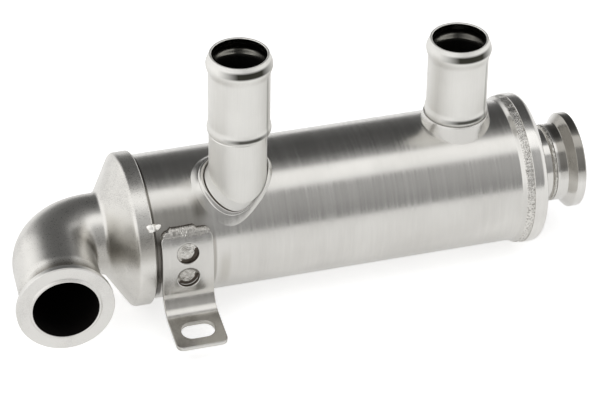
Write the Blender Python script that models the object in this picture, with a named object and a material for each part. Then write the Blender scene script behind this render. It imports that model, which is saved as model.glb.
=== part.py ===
"""Shell and tube exhaust gas cooler with a cast inlet elbow, two beaded coolant pipes and a slotted foot.

All sizes are in metres. X runs along the body, from the gas inlet to the gas outlet. The gas inlet
flange and the bracket face -Y, and the coolant pipes stand up along +Z. Everything is built round the
body's axis, with X = 0 at the shell's inlet end, and hangs on one empty. That empty puts the origin on
the underside of the bracket's foot, where the cooler is bolted down.
"""

import bpy
import bmesh
from math import acos, atan2, cos, pi, radians, sin, sqrt, tan
from mathutils import Matrix, Vector

# Fit between pieces that touch or are joined
CLEARANCE = 0.0003

# Shell tube
SHELL_DIAMETER = 0.0603
SHELL_WALL = 0.0015
SHELL_LENGTH = 0.1730

# Necks drawn out of the shell round the coolant pipes
NECK_WALL = 0.0007
LONG_NECK_HEIGHT = 0.0009
LONG_NECK_LIP_WIDTH = 0.0024
LONG_NECK_FLARE = 0.0020
LONG_NECK_LIP_SHIFT = 0.0019
LONG_NECK_FLARE_SHIFT = 0.0019
LONG_NECK_SIDE_MARGIN = 0.00225
SHORT_NECK_HEIGHT = 0.0035
SHORT_NECK_FLARE = 0.0010

# Coolant pipes with a rolled bead near the end and a second bead halfway
PIPE_DIAMETER = 0.0252
PIPE_WALL = 0.0011
END_BEAD_HEIGHT = 0.0010
END_BEAD_WIDTH = 0.0094
END_BEAD_SETBACK = 0.0043
STOP_BEAD_HEIGHT = 0.0006
STOP_BEAD_WIDTH = 0.0064
LONG_PIPE_X = 0.0456
LONG_PIPE_TOP = 0.0852
LONG_PIPE_BEAD = 0.0506
LONG_PIPE_STEP = 0.0007
LONG_PIPE_END_SHIFT = 0.0005
SHORT_PIPE_SETBACK = 0.0303
SHORT_PIPE_Y = 0.0
SHORT_PIPE_TOP = 0.0697
SHORT_PIPE_BEAD_RISE = 0.0021

# Cast inlet: skirt over the shell, cone and short-radius elbow
SKIRT_OVERLAP = 0.0056
SKIRT_WALL = 0.0017
SKIRT_EDGE_ROUND = 0.0010
CONE_SHOULDER = 0.0013
CONE_SHOULDER_ROUND = 0.0022
CONE_LENGTH = 0.0095
CONE_ROOT_ROUND = 0.0022
ELBOW_DIAMETER = 0.0341
ELBOW_WALL = 0.0024
ELBOW_BEND_RADIUS = 0.0187
ELBOW_LEAD_IN = 0.0040
ELBOW_TURN = 86.0
ELBOW_RUN = 0.0292
ELBOW_NECK_LENGTH = 0.0060
ELBOW_NECK_ROUND = 0.0040

# Inlet clamp flange
INLET_FLANGE_DIAMETER = 0.0397
INLET_FLANGE_BORE = 0.0274
INLET_FLANGE_RIM = 0.0024
INLET_FLANGE_LENGTH = 0.0066
INLET_FLANGE_NECK_WALL = 0.0018
FLANGE_EDGE_ROUND = 0.0005

# Outlet cap, pressed with a skirt that slides over the shell's end
CAP_WALL = 0.0018
CAP_SKIRT_WALL = 0.0016
CAP_OVERLAP = 0.0044
CAP_ROUND = 0.0028

# Outlet neck and its clamp flange: collar, cone and rim
OUTLET_NECK_DIAMETER = 0.0306
OUTLET_NECK_WALL = 0.0016
OUTLET_NECK_LENGTH = 0.0106
OUTLET_NECK_INSET = 0.0012
OUTLET_FLANGE_DIAMETER = 0.0406
OUTLET_FLANGE_LENGTH = 0.0116
OUTLET_FLANGE_SOCKET = 0.0012
OUTLET_COLLAR_LENGTH = 0.0046
OUTLET_COLLAR_WALL = 0.0009
OUTLET_CONE_LENGTH = 0.0031
OUTLET_RIM_ROUND = 0.0008

# Gas tube bundle between two tube sheets
TUBE_DIAMETER = 0.0080
TUBE_WALL = 0.0006
TUBE_PITCH = 0.0105
TUBE_EDGE_MARGIN = 0.0030
TUBE_STAND_OUT = 0.0008
HEADER_THICKNESS = 0.0020
HEADER_INSET = 0.0030
BAFFLE_THICKNESS = 0.0012
BAFFLE_SPACING = 0.0400

# Mounting bracket, bent from one strip
BRACKET_X = 0.0187
BRACKET_WIDTH = 0.0214
BRACKET_THICKNESS = 0.0020
BRACKET_WRAP_ANGLE = 26.4
BRACKET_LEG = 0.0114
BRACKET_BEND_RADIUS = 0.0088
BRACKET_FOOT_SLOPE = 9.0
BRACKET_FOOT_LENGTH = 0.0160
BRACKET_CORNER = 0.0028
SLOT_LENGTH = 0.0139
SLOT_WIDTH = 0.0086
SLOT_SETBACK = 0.0071
PLUG_HOLE_DIAMETER = 0.0092
PLUG_HOLE_SPACING = 0.0115
PLUG_HOLE_DROP = 0.0054
PLUG_RECESS = 0.0010

# Weld metal
RING_WELD_WIDTH = 0.0052
RING_WELD_HEIGHT = 0.0016
EDGE_WELD_WIDTH = 0.0034
EDGE_WELD_HEIGHT = 0.0021
NECK_WELD_WIDTH = 0.0016
NECK_WELD_HEIGHT = 0.0006
TACK_WELD_SIZE = 0.0030
TACK_WELD_ANGLE = 34.0

# Facets round each circle
SHELL_FACETS = 52
CAST_FACETS = 30
PIPE_FACETS = 28
FLANGE_FACETS = 32
TUBE_FACETS = 8
PLATE_FACETS = 36
BEND_STEPS = 8

# Values that follow from the sizes above
SHELL_RADIUS = SHELL_DIAMETER / 2
SHELL_BORE = SHELL_RADIUS - SHELL_WALL
PIPE_RADIUS = PIPE_DIAMETER / 2
LONG_PIPE_END_RADIUS = PIPE_RADIUS - LONG_PIPE_STEP
LONG_NECK_BORE = LONG_PIPE_END_RADIUS + CLEARANCE
LONG_NECK_REACH = LONG_NECK_BORE + LONG_NECK_LIP_WIDTH + LONG_NECK_FLARE
LONG_PIPE_Y = -(SHELL_RADIUS - LONG_NECK_SIDE_MARGIN - LONG_NECK_REACH)
SHORT_PIPE_X = SHELL_LENGTH - SHORT_PIPE_SETBACK
SHORT_NECK_BORE = PIPE_RADIUS + CLEARANCE
SHORT_NECK_LIP = SHELL_RADIUS + SHORT_NECK_HEIGHT
SHORT_PIPE_BEAD = SHORT_NECK_LIP + SHORT_PIPE_BEAD_RISE
ELBOW_RADIUS = ELBOW_DIAMETER / 2
ELBOW_BORE = ELBOW_RADIUS - ELBOW_WALL
SKIRT_BORE = SHELL_RADIUS + CLEARANCE
SKIRT_RADIUS = SKIRT_BORE + SKIRT_WALL
FLANGE_BORE = INLET_FLANGE_BORE / 2
FLANGE_NECK = FLANGE_BORE + INLET_FLANGE_NECK_WALL
BEND_START_X = -CONE_SHOULDER - CONE_LENGTH - ELBOW_LEAD_IN
BEND_ANGLE = radians(ELBOW_TURN)
BEND_CENTRE_Y = -ELBOW_BEND_RADIUS
RUN_DIRECTION = Vector((-cos(BEND_ANGLE), -sin(BEND_ANGLE), 0.0))
BEND_END = Vector((BEND_START_X, BEND_CENTRE_Y, 0.0)) + Vector(
    (-sin(BEND_ANGLE), cos(BEND_ANGLE), 0.0)
) * ELBOW_BEND_RADIUS
INLET_FACE = BEND_END + RUN_DIRECTION * ELBOW_RUN
OUTLET_NECK_RADIUS = OUTLET_NECK_DIAMETER / 2
OUTLET_BORE = OUTLET_NECK_RADIUS - OUTLET_NECK_WALL
CAP_START_X = SHELL_LENGTH - CAP_OVERLAP
CAP_INNER_X = SHELL_LENGTH + CLEARANCE
CAP_FACE_X = CAP_INNER_X + CAP_WALL
CAP_RADIUS = SHELL_RADIUS + CLEARANCE + CAP_SKIRT_WALL
OUTLET_FLANGE_X = CAP_FACE_X + OUTLET_NECK_LENGTH - OUTLET_FLANGE_SOCKET
PLATE_RADIUS = SHELL_BORE - CLEARANCE
TUBE_RINGS = int((PLATE_RADIUS - TUBE_EDGE_MARGIN - TUBE_DIAMETER / 2) / TUBE_PITCH)
ROW_STEP = TUBE_PITCH * sqrt(3) / 2
FIRST_HEADER_X = HEADER_INSET
LAST_HEADER_X = SHELL_LENGTH - HEADER_INSET - HEADER_THICKNESS
BAFFLE_MIDDLE_X = (FIRST_HEADER_X + LAST_HEADER_X + HEADER_THICKNESS - BAFFLE_THICKNESS) / 2

# The bracket's faces in its own section plane, seen along X
LEG_BACK_Y = -(SHELL_RADIUS + CLEARANCE)
LEG_FRONT_Y = LEG_BACK_Y - BRACKET_THICKNESS
BEND_TURN = 90.0 - BRACKET_FOOT_SLOPE
FOOT_ALONG = Vector((0.0, -cos(radians(BRACKET_FOOT_SLOPE)), -sin(radians(BRACKET_FOOT_SLOPE))))
FOOT_UP = Vector((0.0, -sin(radians(BRACKET_FOOT_SLOPE)), cos(radians(BRACKET_FOOT_SLOPE))))
BEND_CENTRE = Vector((0.0, LEG_FRONT_Y - BRACKET_BEND_RADIUS, -BRACKET_LEG))
FOOT_START = BEND_CENTRE - FOOT_UP * BRACKET_BEND_RADIUS
FOOT_MOUNT_ALONG = (SLOT_SETBACK + SLOT_WIDTH / 2 + BRACKET_FOOT_LENGTH) / 2
FOOT_MOUNT = (
    Vector((BRACKET_X, 0.0, 0.0))
    + FOOT_START
    + FOOT_ALONG * FOOT_MOUNT_ALONG
    - FOOT_UP * BRACKET_THICKNESS
)


def clear_scene():
    for item in list(bpy.data.objects):
        bpy.data.objects.remove(item, do_unlink=True)


def steel(name, colour, roughness):
    """A Principled steel of this colour and roughness."""
    made = bpy.data.materials.new(name)
    made.use_nodes = True
    shader = made.node_tree.nodes["Principled BSDF"]
    shader.inputs["Base Color"].default_value = (*colour, 1.0)
    shader.inputs["Roughness"].default_value = roughness
    shader.inputs["Metallic"].default_value = 1.0
    made.diffuse_color = (*colour, 1.0)
    return made


def add_piece(name, form, colour, roughness, location=(0, 0, 0), rotation=(0, 0, 0)):
    """Turns a bmesh into a named object on the frame, shaded smooth up to 35 degrees."""
    bmesh.ops.recalc_face_normals(form, faces=form.faces)
    mesh = bpy.data.meshes.new(name)
    form.to_mesh(mesh)
    form.free()
    mesh.shade_smooth()
    mesh.set_sharp_from_angle(angle=radians(35))
    mesh.materials.append(steel(name, colour, roughness))
    piece = bpy.data.objects.new(name, mesh)
    piece.location = location
    piece.rotation_euler = rotation
    piece.parent = frame
    bpy.context.collection.objects.link(piece)
    return piece


def add_cutter(name, form, location=(0, 0, 0), rotation=(0, 0, 0)):
    """A helper that only cuts or joins, so it is drawn as wire and left out of the model."""
    helper = add_piece(name, form, (0.5, 0.5, 0.5), 0.5, location, rotation)
    helper.hide_render = True
    helper.display_type = "WIRE"
    return helper


def combine(piece, helper, operation):
    step = piece.modifiers.new(helper.name, "BOOLEAN")
    step.operation = operation
    step.object = helper
    step.solver = "EXACT"
    return step


def rounded(corners):
    """A closed outline from (along, radius, fillet) corners, each fillet an arc of short chords."""
    outline = []
    count = len(corners)
    for index, (x, y, fillet) in enumerate(corners):
        here = Vector((x, y))
        before = Vector(corners[index - 1][:2]) - here
        after = Vector(corners[(index + 1) % count][:2]) - here
        if fillet <= 0:
            outline.append(here)
            continue
        corner = before.angle(after)
        reach = min(fillet / tan(corner / 2), 0.48 * before.length, 0.48 * after.length)
        radius = reach * tan(corner / 2)
        middle = here + (before.normalized() + after.normalized()).normalized() * radius / sin(corner / 2)
        first = here + before.normalized() * reach - middle
        turn = first.angle_signed(here + after.normalized() * reach - middle)
        steps = max(2, round(abs(turn) / radians(45)))
        for step in range(steps + 1):
            outline.append(middle + Matrix.Rotation(-turn * step / steps, 2) @ first)
    return outline


def turned(outline, facets):
    """A closed outline of (along, radius) points, spun once round the Z axis."""
    form = bmesh.new()
    corners = [form.verts.new((point[1], 0.0, point[0])) for point in outline]
    edges = [form.edges.new((corners[i - 1], corners[i])) for i in range(len(corners))]
    bmesh.ops.spin(
        form,
        geom=corners + edges,
        cent=(0, 0, 0),
        axis=(0, 0, 1),
        angle=2 * pi,
        steps=facets,
        use_merge=True,
    )
    return form


def loft(rings):
    """Faces between each ring of points and the next, and from the last ring back to the first."""
    form = bmesh.new()
    loops = [[form.verts.new(point) for point in ring] for ring in rings]
    for index, loop in enumerate(loops):
        last = loops[index - 1]
        for i in range(len(loop)):
            form.faces.new((last[i - 1], last[i], loop[i], loop[i - 1]))
    return form


def solid_cylinder(radius, depth, facets):
    """A capped cylinder from Z = 0 up to depth."""
    form = bmesh.new()
    bmesh.ops.create_cone(
        form,
        cap_ends=True,
        segments=facets,
        radius1=radius,
        radius2=radius,
        depth=depth,
        matrix=Matrix.Translation((0, 0, depth / 2)),
    )
    return form


def ring_points(centre, across, up, radius, facets):
    return [
        centre + across * (radius * cos(2 * pi * i / facets)) + up * (radius * sin(2 * pi * i / facets))
        for i in range(facets)
    ]


def shell_height(y, radius):
    """Height of a cylinder of this radius round the body's axis, above the side distance y."""
    return sqrt(max(radius * radius - y * y, 0.0))


ALONG_BODY = (0, radians(90), 0)
STEEL = (0.62, 0.61, 0.59)
CAST = (0.58, 0.57, 0.56)
POLISHED = (0.70, 0.69, 0.67)
WELD = (0.50, 0.49, 0.47)

clear_scene()
frame = bpy.data.objects.new("cooler_frame", None)
frame.location = -FOOT_MOUNT
bpy.context.collection.objects.link(frame)


# Shell with its two drawn necks
def drawn_neck(name, x, y, bore, lip_width, lip_shift, flare, flare_shift, lip_height):
    """The neck's solid: a lip and a flare, each set off to -X, and a bore left for the cutter."""
    inner = bore - NECK_WALL / 2
    steps = 3
    rings = []
    for step in range(steps + 1):
        swing = pi / 2 * step / steps
        run = 1 - cos(swing)
        centre_x = x - lip_shift - flare_shift * run
        sink = -SHELL_WALL * 0.1 if step == steps else 0.0
        rings.append((centre_x, bore + lip_width + flare * run, 1 - sin(swing), sink))
    rings.append((x - lip_shift - flare_shift, bore + lip_width + flare, 0.0, -SHELL_WALL / 2))
    rings.append((x, inner, 0.0, -SHELL_WALL / 2))
    rings.append((x, inner, 1.0, 0.0))
    placed = []
    for centre_x, radius, share, sink in rings:
        ring = ring_points(
            Vector((centre_x, y, 0)), Vector((1, 0, 0)), Vector((0, 1, 0)), radius, PIPE_FACETS
        )
        surface = [shell_height(p.y, SHELL_RADIUS) for p in ring]
        placed.append(
            [Vector((p.x, p.y, h + share * lip_height(p.y) + sink)) for p, h in zip(ring, surface)]
        )
    return add_cutter(name, loft(placed))


shell = add_piece(
    "shell",
    turned(
        rounded(
            [
                (0.0, SHELL_RADIUS, 0.0),
                (SHELL_LENGTH, SHELL_RADIUS, 0.0),
                (SHELL_LENGTH, SHELL_BORE, 0.0),
                (0.0, SHELL_BORE, 0.0),
            ]
        ),
        SHELL_FACETS,
    ),
    STEEL,
    0.28,
    rotation=ALONG_BODY,
)


def long_lip(y):
    """The long pipe's neck keeps one height above the shell all round."""
    return LONG_NECK_HEIGHT


def short_lip(y):
    """The short pipe's neck is cut off level."""
    return SHORT_NECK_LIP - shell_height(y, SHELL_RADIUS)


long_neck = drawn_neck(
    "neck_form_long",
    LONG_PIPE_X - LONG_PIPE_END_SHIFT,
    LONG_PIPE_Y,
    LONG_NECK_BORE,
    LONG_NECK_LIP_WIDTH,
    LONG_NECK_LIP_SHIFT,
    LONG_NECK_FLARE,
    LONG_NECK_FLARE_SHIFT,
    long_lip,
)
short_neck = drawn_neck(
    "neck_form_short",
    SHORT_PIPE_X,
    SHORT_PIPE_Y,
    SHORT_NECK_BORE,
    NECK_WALL,
    0.0,
    SHORT_NECK_FLARE,
    0.0,
    short_lip,
)
combine(shell, long_neck, "UNION")
combine(shell, short_neck, "UNION")
NECK_BORES = (
    ("long", LONG_PIPE_X - LONG_PIPE_END_SHIFT, LONG_PIPE_Y, LONG_NECK_BORE),
    ("short", SHORT_PIPE_X, SHORT_PIPE_Y, SHORT_NECK_BORE),
)
for label, neck_x, neck_y, neck_bore in NECK_BORES:
    bore = add_cutter(
        "neck_bore_" + label,
        solid_cylinder(neck_bore, SHELL_DIAMETER, PIPE_FACETS),
        location=(neck_x, neck_y, 0.0),
    )
    combine(shell, bore, "DIFFERENCE")


# Coolant pipes, beaded and cut to the shell's bore at the lower end
def bead(z, middle, width, height):
    """How far a rolled bead stands out at height z."""
    away = abs(z - middle) / (width / 2)
    return height * (0.5 + 0.5 * cos(pi * away)) if away < 1 else 0.0


def pipe_form(top, stop_middle, end_radius, end_shift):
    """A beaded pipe that steps in to end_radius, and end_shift to -X, at the foot of its second bead."""
    beads = (
        (top - END_BEAD_SETBACK, END_BEAD_WIDTH, END_BEAD_HEIGHT),
        (stop_middle, STOP_BEAD_WIDTH, STOP_BEAD_HEIGHT),
    )

    def stepped_in(z):
        share = min(max((stop_middle - z) / (STOP_BEAD_WIDTH / 2), 0.0), 1.0)
        return share * share * (3 - 2 * share)

    def wall_line(inset, spans):
        levels = {0.0, top}
        for middle, width, height in beads:
            for step in range(spans + 1):
                levels.add(middle + width * (step / spans - 0.5))
        line = []
        for z in sorted(level for level in levels if 0.0 <= level <= top):
            radius = PIPE_RADIUS + (end_radius - PIPE_RADIUS) * stepped_in(z)
            radius += sum(bead(z, *size) for size in beads)
            line.append((z, radius - inset, -end_shift * stepped_in(z)))
        return line

    stations = wall_line(0.0, 6) + wall_line(PIPE_WALL, 2)[::-1]
    return loft(
        [
            ring_points(Vector((shift, 0, z)), Vector((1, 0, 0)), Vector((0, 1, 0)), radius, PIPE_FACETS)
            for z, radius, shift in stations
        ]
    )


PIPES = (
    ("long", LONG_PIPE_X, LONG_PIPE_Y, LONG_PIPE_TOP, LONG_PIPE_BEAD, LONG_PIPE_END_RADIUS, LONG_PIPE_END_SHIFT),
    ("short", SHORT_PIPE_X, SHORT_PIPE_Y, SHORT_PIPE_TOP, SHORT_PIPE_BEAD, PIPE_RADIUS, 0.0),
)
for label, pipe_x, pipe_y, top, stop_z, end_radius, end_shift in PIPES:
    pipe = add_piece(
        "coolant_pipe_" + label,
        pipe_form(top, stop_z, end_radius, end_shift),
        POLISHED,
        0.16,
        location=(pipe_x, pipe_y, 0.0),
    )
    mouth = add_cutter(
        "pipe_mouth_" + label,
        solid_cylinder(SHELL_BORE, PIPE_DIAMETER * 2, SHELL_FACETS),
        location=(pipe_x - PIPE_DIAMETER, 0.0, 0.0),
        rotation=ALONG_BODY,
    )
    combine(pipe, mouth, "DIFFERENCE")


# Cast inlet, swept along the body's axis and round the elbow
BEND_LENGTH = ELBOW_BEND_RADIUS * BEND_ANGLE
CAST_END = BEND_LENGTH + ELBOW_RUN - INLET_FLANGE_LENGTH - CLEARANCE


def elbow_station(along):
    """Centre and sideways direction of the casting's section at this length past the bend's start."""
    if along <= 0:
        return Vector((BEND_START_X - along, 0, 0)), Vector((0, 1, 0))
    if along < BEND_LENGTH:
        turn = along / ELBOW_BEND_RADIUS
        sideways = Vector((-sin(turn), cos(turn), 0))
        centre = Vector((BEND_START_X, BEND_CENTRE_Y, 0)) + sideways * ELBOW_BEND_RADIUS
        return centre, sideways
    sideways = Vector((-sin(BEND_ANGLE), cos(BEND_ANGLE), 0))
    return BEND_END + RUN_DIRECTION * (along - BEND_LENGTH), sideways


def past_bend_start(x):
    return BEND_START_X - x


def split_at_bend(outline):
    """Adds points to the outline where it runs round the bend."""
    stations = [BEND_LENGTH * step / BEND_STEPS for step in range(BEND_STEPS + 1)]
    points = []
    for index, point in enumerate(outline):
        after = outline[(index + 1) % len(outline)]
        points.append(point)
        low, high = sorted((point[0], after[0]))
        between = [s for s in stations if low + 1e-5 < s < high - 1e-5]
        for s in sorted(between, reverse=after[0] < point[0]):
            share = (s - point[0]) / (after[0] - point[0])
            points.append(Vector((s, point[1] + share * (after[1] - point[1]))))
    return points


casting_outline = rounded(
    [
        (past_bend_start(SKIRT_OVERLAP), SKIRT_RADIUS, SKIRT_EDGE_ROUND),
        (past_bend_start(-CONE_SHOULDER), SKIRT_RADIUS, CONE_SHOULDER_ROUND),
        (past_bend_start(-CONE_SHOULDER - CONE_LENGTH), ELBOW_RADIUS, CONE_ROOT_ROUND),
        (CAST_END - ELBOW_NECK_LENGTH, ELBOW_RADIUS, ELBOW_NECK_ROUND),
        (CAST_END, FLANGE_NECK, 0.0),
        (CAST_END, FLANGE_BORE, 0.0),
        (CAST_END - ELBOW_NECK_LENGTH, ELBOW_BORE, 0.0),
        (past_bend_start(-CONE_SHOULDER - CONE_LENGTH), ELBOW_BORE, 0.0),
        (past_bend_start(-CLEARANCE), SHELL_BORE, 0.0),
        (past_bend_start(-CLEARANCE), SKIRT_BORE, 0.0),
        (past_bend_start(SKIRT_OVERLAP), SKIRT_BORE, 0.0),
    ]
)
casting_rings = []
for along, radius in split_at_bend(casting_outline):
    centre, sideways = elbow_station(along)
    casting_rings.append(ring_points(centre, sideways, Vector((0, 0, 1)), radius, CAST_FACETS))
add_piece("inlet_casting", loft(casting_rings), CAST, 0.42)

add_piece(
    "inlet_flange",
    turned(
        rounded(
            [
                (0.0, INLET_FLANGE_DIAMETER / 2, FLANGE_EDGE_ROUND),
                (0.0, FLANGE_BORE, 0.0),
                (INLET_FLANGE_LENGTH, FLANGE_BORE, 0.0),
                (INLET_FLANGE_LENGTH, FLANGE_NECK, 0.0),
                (INLET_FLANGE_RIM, INLET_FLANGE_DIAMETER / 2, FLANGE_EDGE_ROUND),
            ]
        ),
        FLANGE_FACETS,
    ),
    CAST,
    0.30,
    location=INLET_FACE,
    rotation=(radians(-90), 0, radians(ELBOW_TURN - 90)),
)

# Outlet cap over the shell's end
add_piece(
    "outlet_cap",
    turned(
        rounded(
            [
                (CAP_START_X, CAP_RADIUS, 0.0),
                (CAP_FACE_X, CAP_RADIUS, CAP_ROUND),
                (CAP_FACE_X, OUTLET_NECK_RADIUS + CLEARANCE, 0.0),
                (CAP_INNER_X, OUTLET_NECK_RADIUS + CLEARANCE, 0.0),
                (CAP_INNER_X, SHELL_RADIUS + CLEARANCE, 0.0),
                (CAP_START_X, SHELL_RADIUS + CLEARANCE, 0.0),
            ]
        ),
        SHELL_FACETS,
    ),
    STEEL,
    0.25,
    rotation=ALONG_BODY,
)

add_piece(
    "outlet_neck",
    turned(
        rounded(
            [
                (CAP_FACE_X - CAP_WALL - OUTLET_NECK_INSET, OUTLET_NECK_RADIUS, 0.0),
                (CAP_FACE_X + OUTLET_NECK_LENGTH, OUTLET_NECK_RADIUS, 0.0),
                (CAP_FACE_X + OUTLET_NECK_LENGTH, OUTLET_BORE, 0.0),
                (CAP_FACE_X - CAP_WALL - OUTLET_NECK_INSET, OUTLET_BORE, 0.0),
            ]
        ),
        PIPE_FACETS,
    ),
    STEEL,
    0.25,
    rotation=ALONG_BODY,
)

# Outlet clamp flange: collar over the neck's end, cone for the clamp, and rim
COLLAR_END = OUTLET_FLANGE_X + OUTLET_COLLAR_LENGTH
CONE_END = COLLAR_END + OUTLET_CONE_LENGTH
OUTLET_END_X = OUTLET_FLANGE_X + OUTLET_FLANGE_LENGTH
SOCKET_RADIUS = OUTLET_NECK_RADIUS + CLEARANCE
COLLAR_RADIUS = SOCKET_RADIUS + OUTLET_COLLAR_WALL
add_piece(
    "outlet_flange",
    turned(
        rounded(
            [
                (OUTLET_FLANGE_X, COLLAR_RADIUS, 0.0),
                (COLLAR_END, COLLAR_RADIUS, 0.0),
                (CONE_END, OUTLET_FLANGE_DIAMETER / 2, OUTLET_RIM_ROUND),
                (OUTLET_END_X, OUTLET_FLANGE_DIAMETER / 2, OUTLET_RIM_ROUND),
                (OUTLET_END_X, OUTLET_BORE, 0.0),
                (OUTLET_FLANGE_X + OUTLET_FLANGE_SOCKET + CLEARANCE, OUTLET_BORE, 0.0),
                (OUTLET_FLANGE_X + OUTLET_FLANGE_SOCKET + CLEARANCE, SOCKET_RADIUS, 0.0),
                (OUTLET_FLANGE_X, SOCKET_RADIUS, 0.0),
            ]
        ),
        FLANGE_FACETS,
    ),
    STEEL,
    0.22,
    rotation=ALONG_BODY,
)


# Gas tubes on a triangular pitch, the tube sheets and the baffles
def tube_centres():
    """(y, z) of each tube: a hexagon of this many rings round the one on the axis."""
    centres = []
    for row in range(-TUBE_RINGS, TUBE_RINGS + 1):
        in_row = 2 * TUBE_RINGS + 1 - abs(row)
        for place in range(in_row):
            centres.append(((place - (in_row - 1) / 2) * TUBE_PITCH, row * ROW_STEP))
    return centres


def drilled_plate(thickness, radius, centres, cut_height=None):
    """A round plate with a hole round each tube, and one side cut off flat where cut_height is given."""
    form = bmesh.new()
    rim = []
    facets = PLATE_FACETS
    for i in range(facets):
        angle = 2 * pi * i / facets
        rim.append([radius * cos(angle), radius * sin(angle)])
    if cut_height is not None:
        sign = 1 if cut_height > 0 else -1
        reach = acos(abs(cut_height) / radius)
        kept = []
        for i in range(facets // 2 * 2):
            angle = 2 * pi * i / facets
            away = abs(atan2(sin(angle - sign * pi / 2), cos(angle - sign * pi / 2)))
            if away > reach + radians(1.5):
                kept.append(angle)
        ends = [sign * pi / 2 + reach, sign * pi / 2 - reach]
        start = ends[0] % (2 * pi)
        kept = sorted((angle - start) % (2 * pi) for angle in kept)
        angles = [0.0] + kept + [(ends[1] - start) % (2 * pi)]
        rim = [[radius * cos(a + start), radius * sin(a + start)] for a in angles]
    loops = [rim]
    for y, z in centres:
        hole = TUBE_DIAMETER / 2 + CLEARANCE
        loops.append(
            [
                [y + hole * cos(2 * pi * i / TUBE_FACETS), z + hole * sin(2 * pi * i / TUBE_FACETS)]
                for i in range(TUBE_FACETS)
            ]
        )
    edges = []
    for loop in loops:
        corners = [form.verts.new((0.0, y, z)) for y, z in loop]
        edges += [form.edges.new((corners[i - 1], corners[i])) for i in range(len(corners))]
    bmesh.ops.triangle_fill(form, use_beauty=True, use_dissolve=False, edges=edges)
    grown = bmesh.ops.extrude_face_region(form, geom=list(form.faces))
    moved = [item for item in grown["geom"] if isinstance(item, bmesh.types.BMVert)]
    bmesh.ops.translate(form, vec=(thickness, 0, 0), verts=moved)
    return form


CENTRES = tube_centres()
TUBE_START_X = FIRST_HEADER_X - TUBE_STAND_OUT
TUBE_END_X = LAST_HEADER_X + HEADER_THICKNESS + TUBE_STAND_OUT
for label, header_x in (("inlet", FIRST_HEADER_X), ("outlet", LAST_HEADER_X)):
    add_piece(
        "tube_sheet_" + label,
        drilled_plate(HEADER_THICKNESS, PLATE_RADIUS, CENTRES),
        STEEL,
        0.45,
        location=(header_x, 0, 0),
    )
for number, (side, offset) in enumerate(((1, -0.5), (-1, 0.5)), start=1):
    cut = side * (TUBE_RINGS - 0.5) * ROW_STEP
    held = [centre for centre in CENTRES if centre[1] * side < abs(cut)]
    add_piece(
        "baffle_" + str(number),
        drilled_plate(BAFFLE_THICKNESS, PLATE_RADIUS, held, cut),
        STEEL,
        0.45,
        location=(BAFFLE_MIDDLE_X + offset * BAFFLE_SPACING, 0, 0),
    )
for number, (y, z) in enumerate(CENTRES, start=1):
    form = turned(
        [
            (TUBE_START_X, TUBE_DIAMETER / 2),
            (TUBE_END_X, TUBE_DIAMETER / 2),
            (TUBE_END_X, TUBE_DIAMETER / 2 - TUBE_WALL),
            (TUBE_START_X, TUBE_DIAMETER / 2 - TUBE_WALL),
        ],
        TUBE_FACETS,
    )
    add_piece("gas_tube_%02d" % number, form, STEEL, 0.35, location=(0, y, z), rotation=ALONG_BODY)


# Mounting bracket: wrap on the shell, straight leg, bend and sloping foot
def bracket_side(distance):
    """The strip's line at this distance out from its back face, from the top edge to the foot's end."""
    line = []
    radius = SHELL_RADIUS + CLEARANCE + distance
    for step in range(5):
        angle = radians(BRACKET_WRAP_ANGLE * (1 - step / 4))
        line.append((-radius * cos(angle), radius * sin(angle)))
    bend = BRACKET_BEND_RADIUS + BRACKET_THICKNESS - distance
    for step in range(8):
        angle = radians(BEND_TURN * step / 7)
        line.append((BEND_CENTRE.y + bend * cos(angle), BEND_CENTRE.z - bend * sin(angle)))
    end = FOOT_START + FOOT_ALONG * BRACKET_FOOT_LENGTH - FOOT_UP * (BRACKET_THICKNESS - distance)
    line.append((end.y, end.z))
    return line


def bracket_form():
    back = bracket_side(0.0)
    front = bracket_side(BRACKET_THICKNESS)
    form = bmesh.new()
    sides = []
    for x in (-BRACKET_WIDTH / 2, BRACKET_WIDTH / 2):
        sides.append(
            (
                [form.verts.new((x, y, z)) for y, z in back],
                [form.verts.new((x, y, z)) for y, z in front],
            )
        )
    (back_a, front_a), (back_b, front_b) = sides
    last = len(back) - 1
    for i in range(last):
        form.faces.new((back_a[i], back_a[i + 1], back_b[i + 1], back_b[i]))
        form.faces.new((front_a[i], front_b[i], front_b[i + 1], front_a[i + 1]))
        form.faces.new((back_a[i], front_a[i], front_a[i + 1], back_a[i + 1]))
        form.faces.new((back_b[i], back_b[i + 1], front_b[i + 1], front_b[i]))
    form.faces.new((back_a[0], back_b[0], front_b[0], front_a[0]))
    form.faces.new((back_a[last], front_a[last], front_b[last], back_b[last]))
    corners = [
        edge
        for edge in form.edges
        if set(edge.verts) in ({back_a[0], front_a[0]}, {back_b[0], front_b[0]})
        or set(edge.verts) in ({back_a[last], front_a[last]}, {back_b[last], front_b[last]})
    ]
    bmesh.ops.bevel(form, geom=corners, offset=BRACKET_CORNER, segments=3, profile=0.5, affect="EDGES")
    return form


bracket = add_piece("mounting_bracket", bracket_form(), STEEL, 0.32, location=(BRACKET_X, 0, 0))

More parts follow.
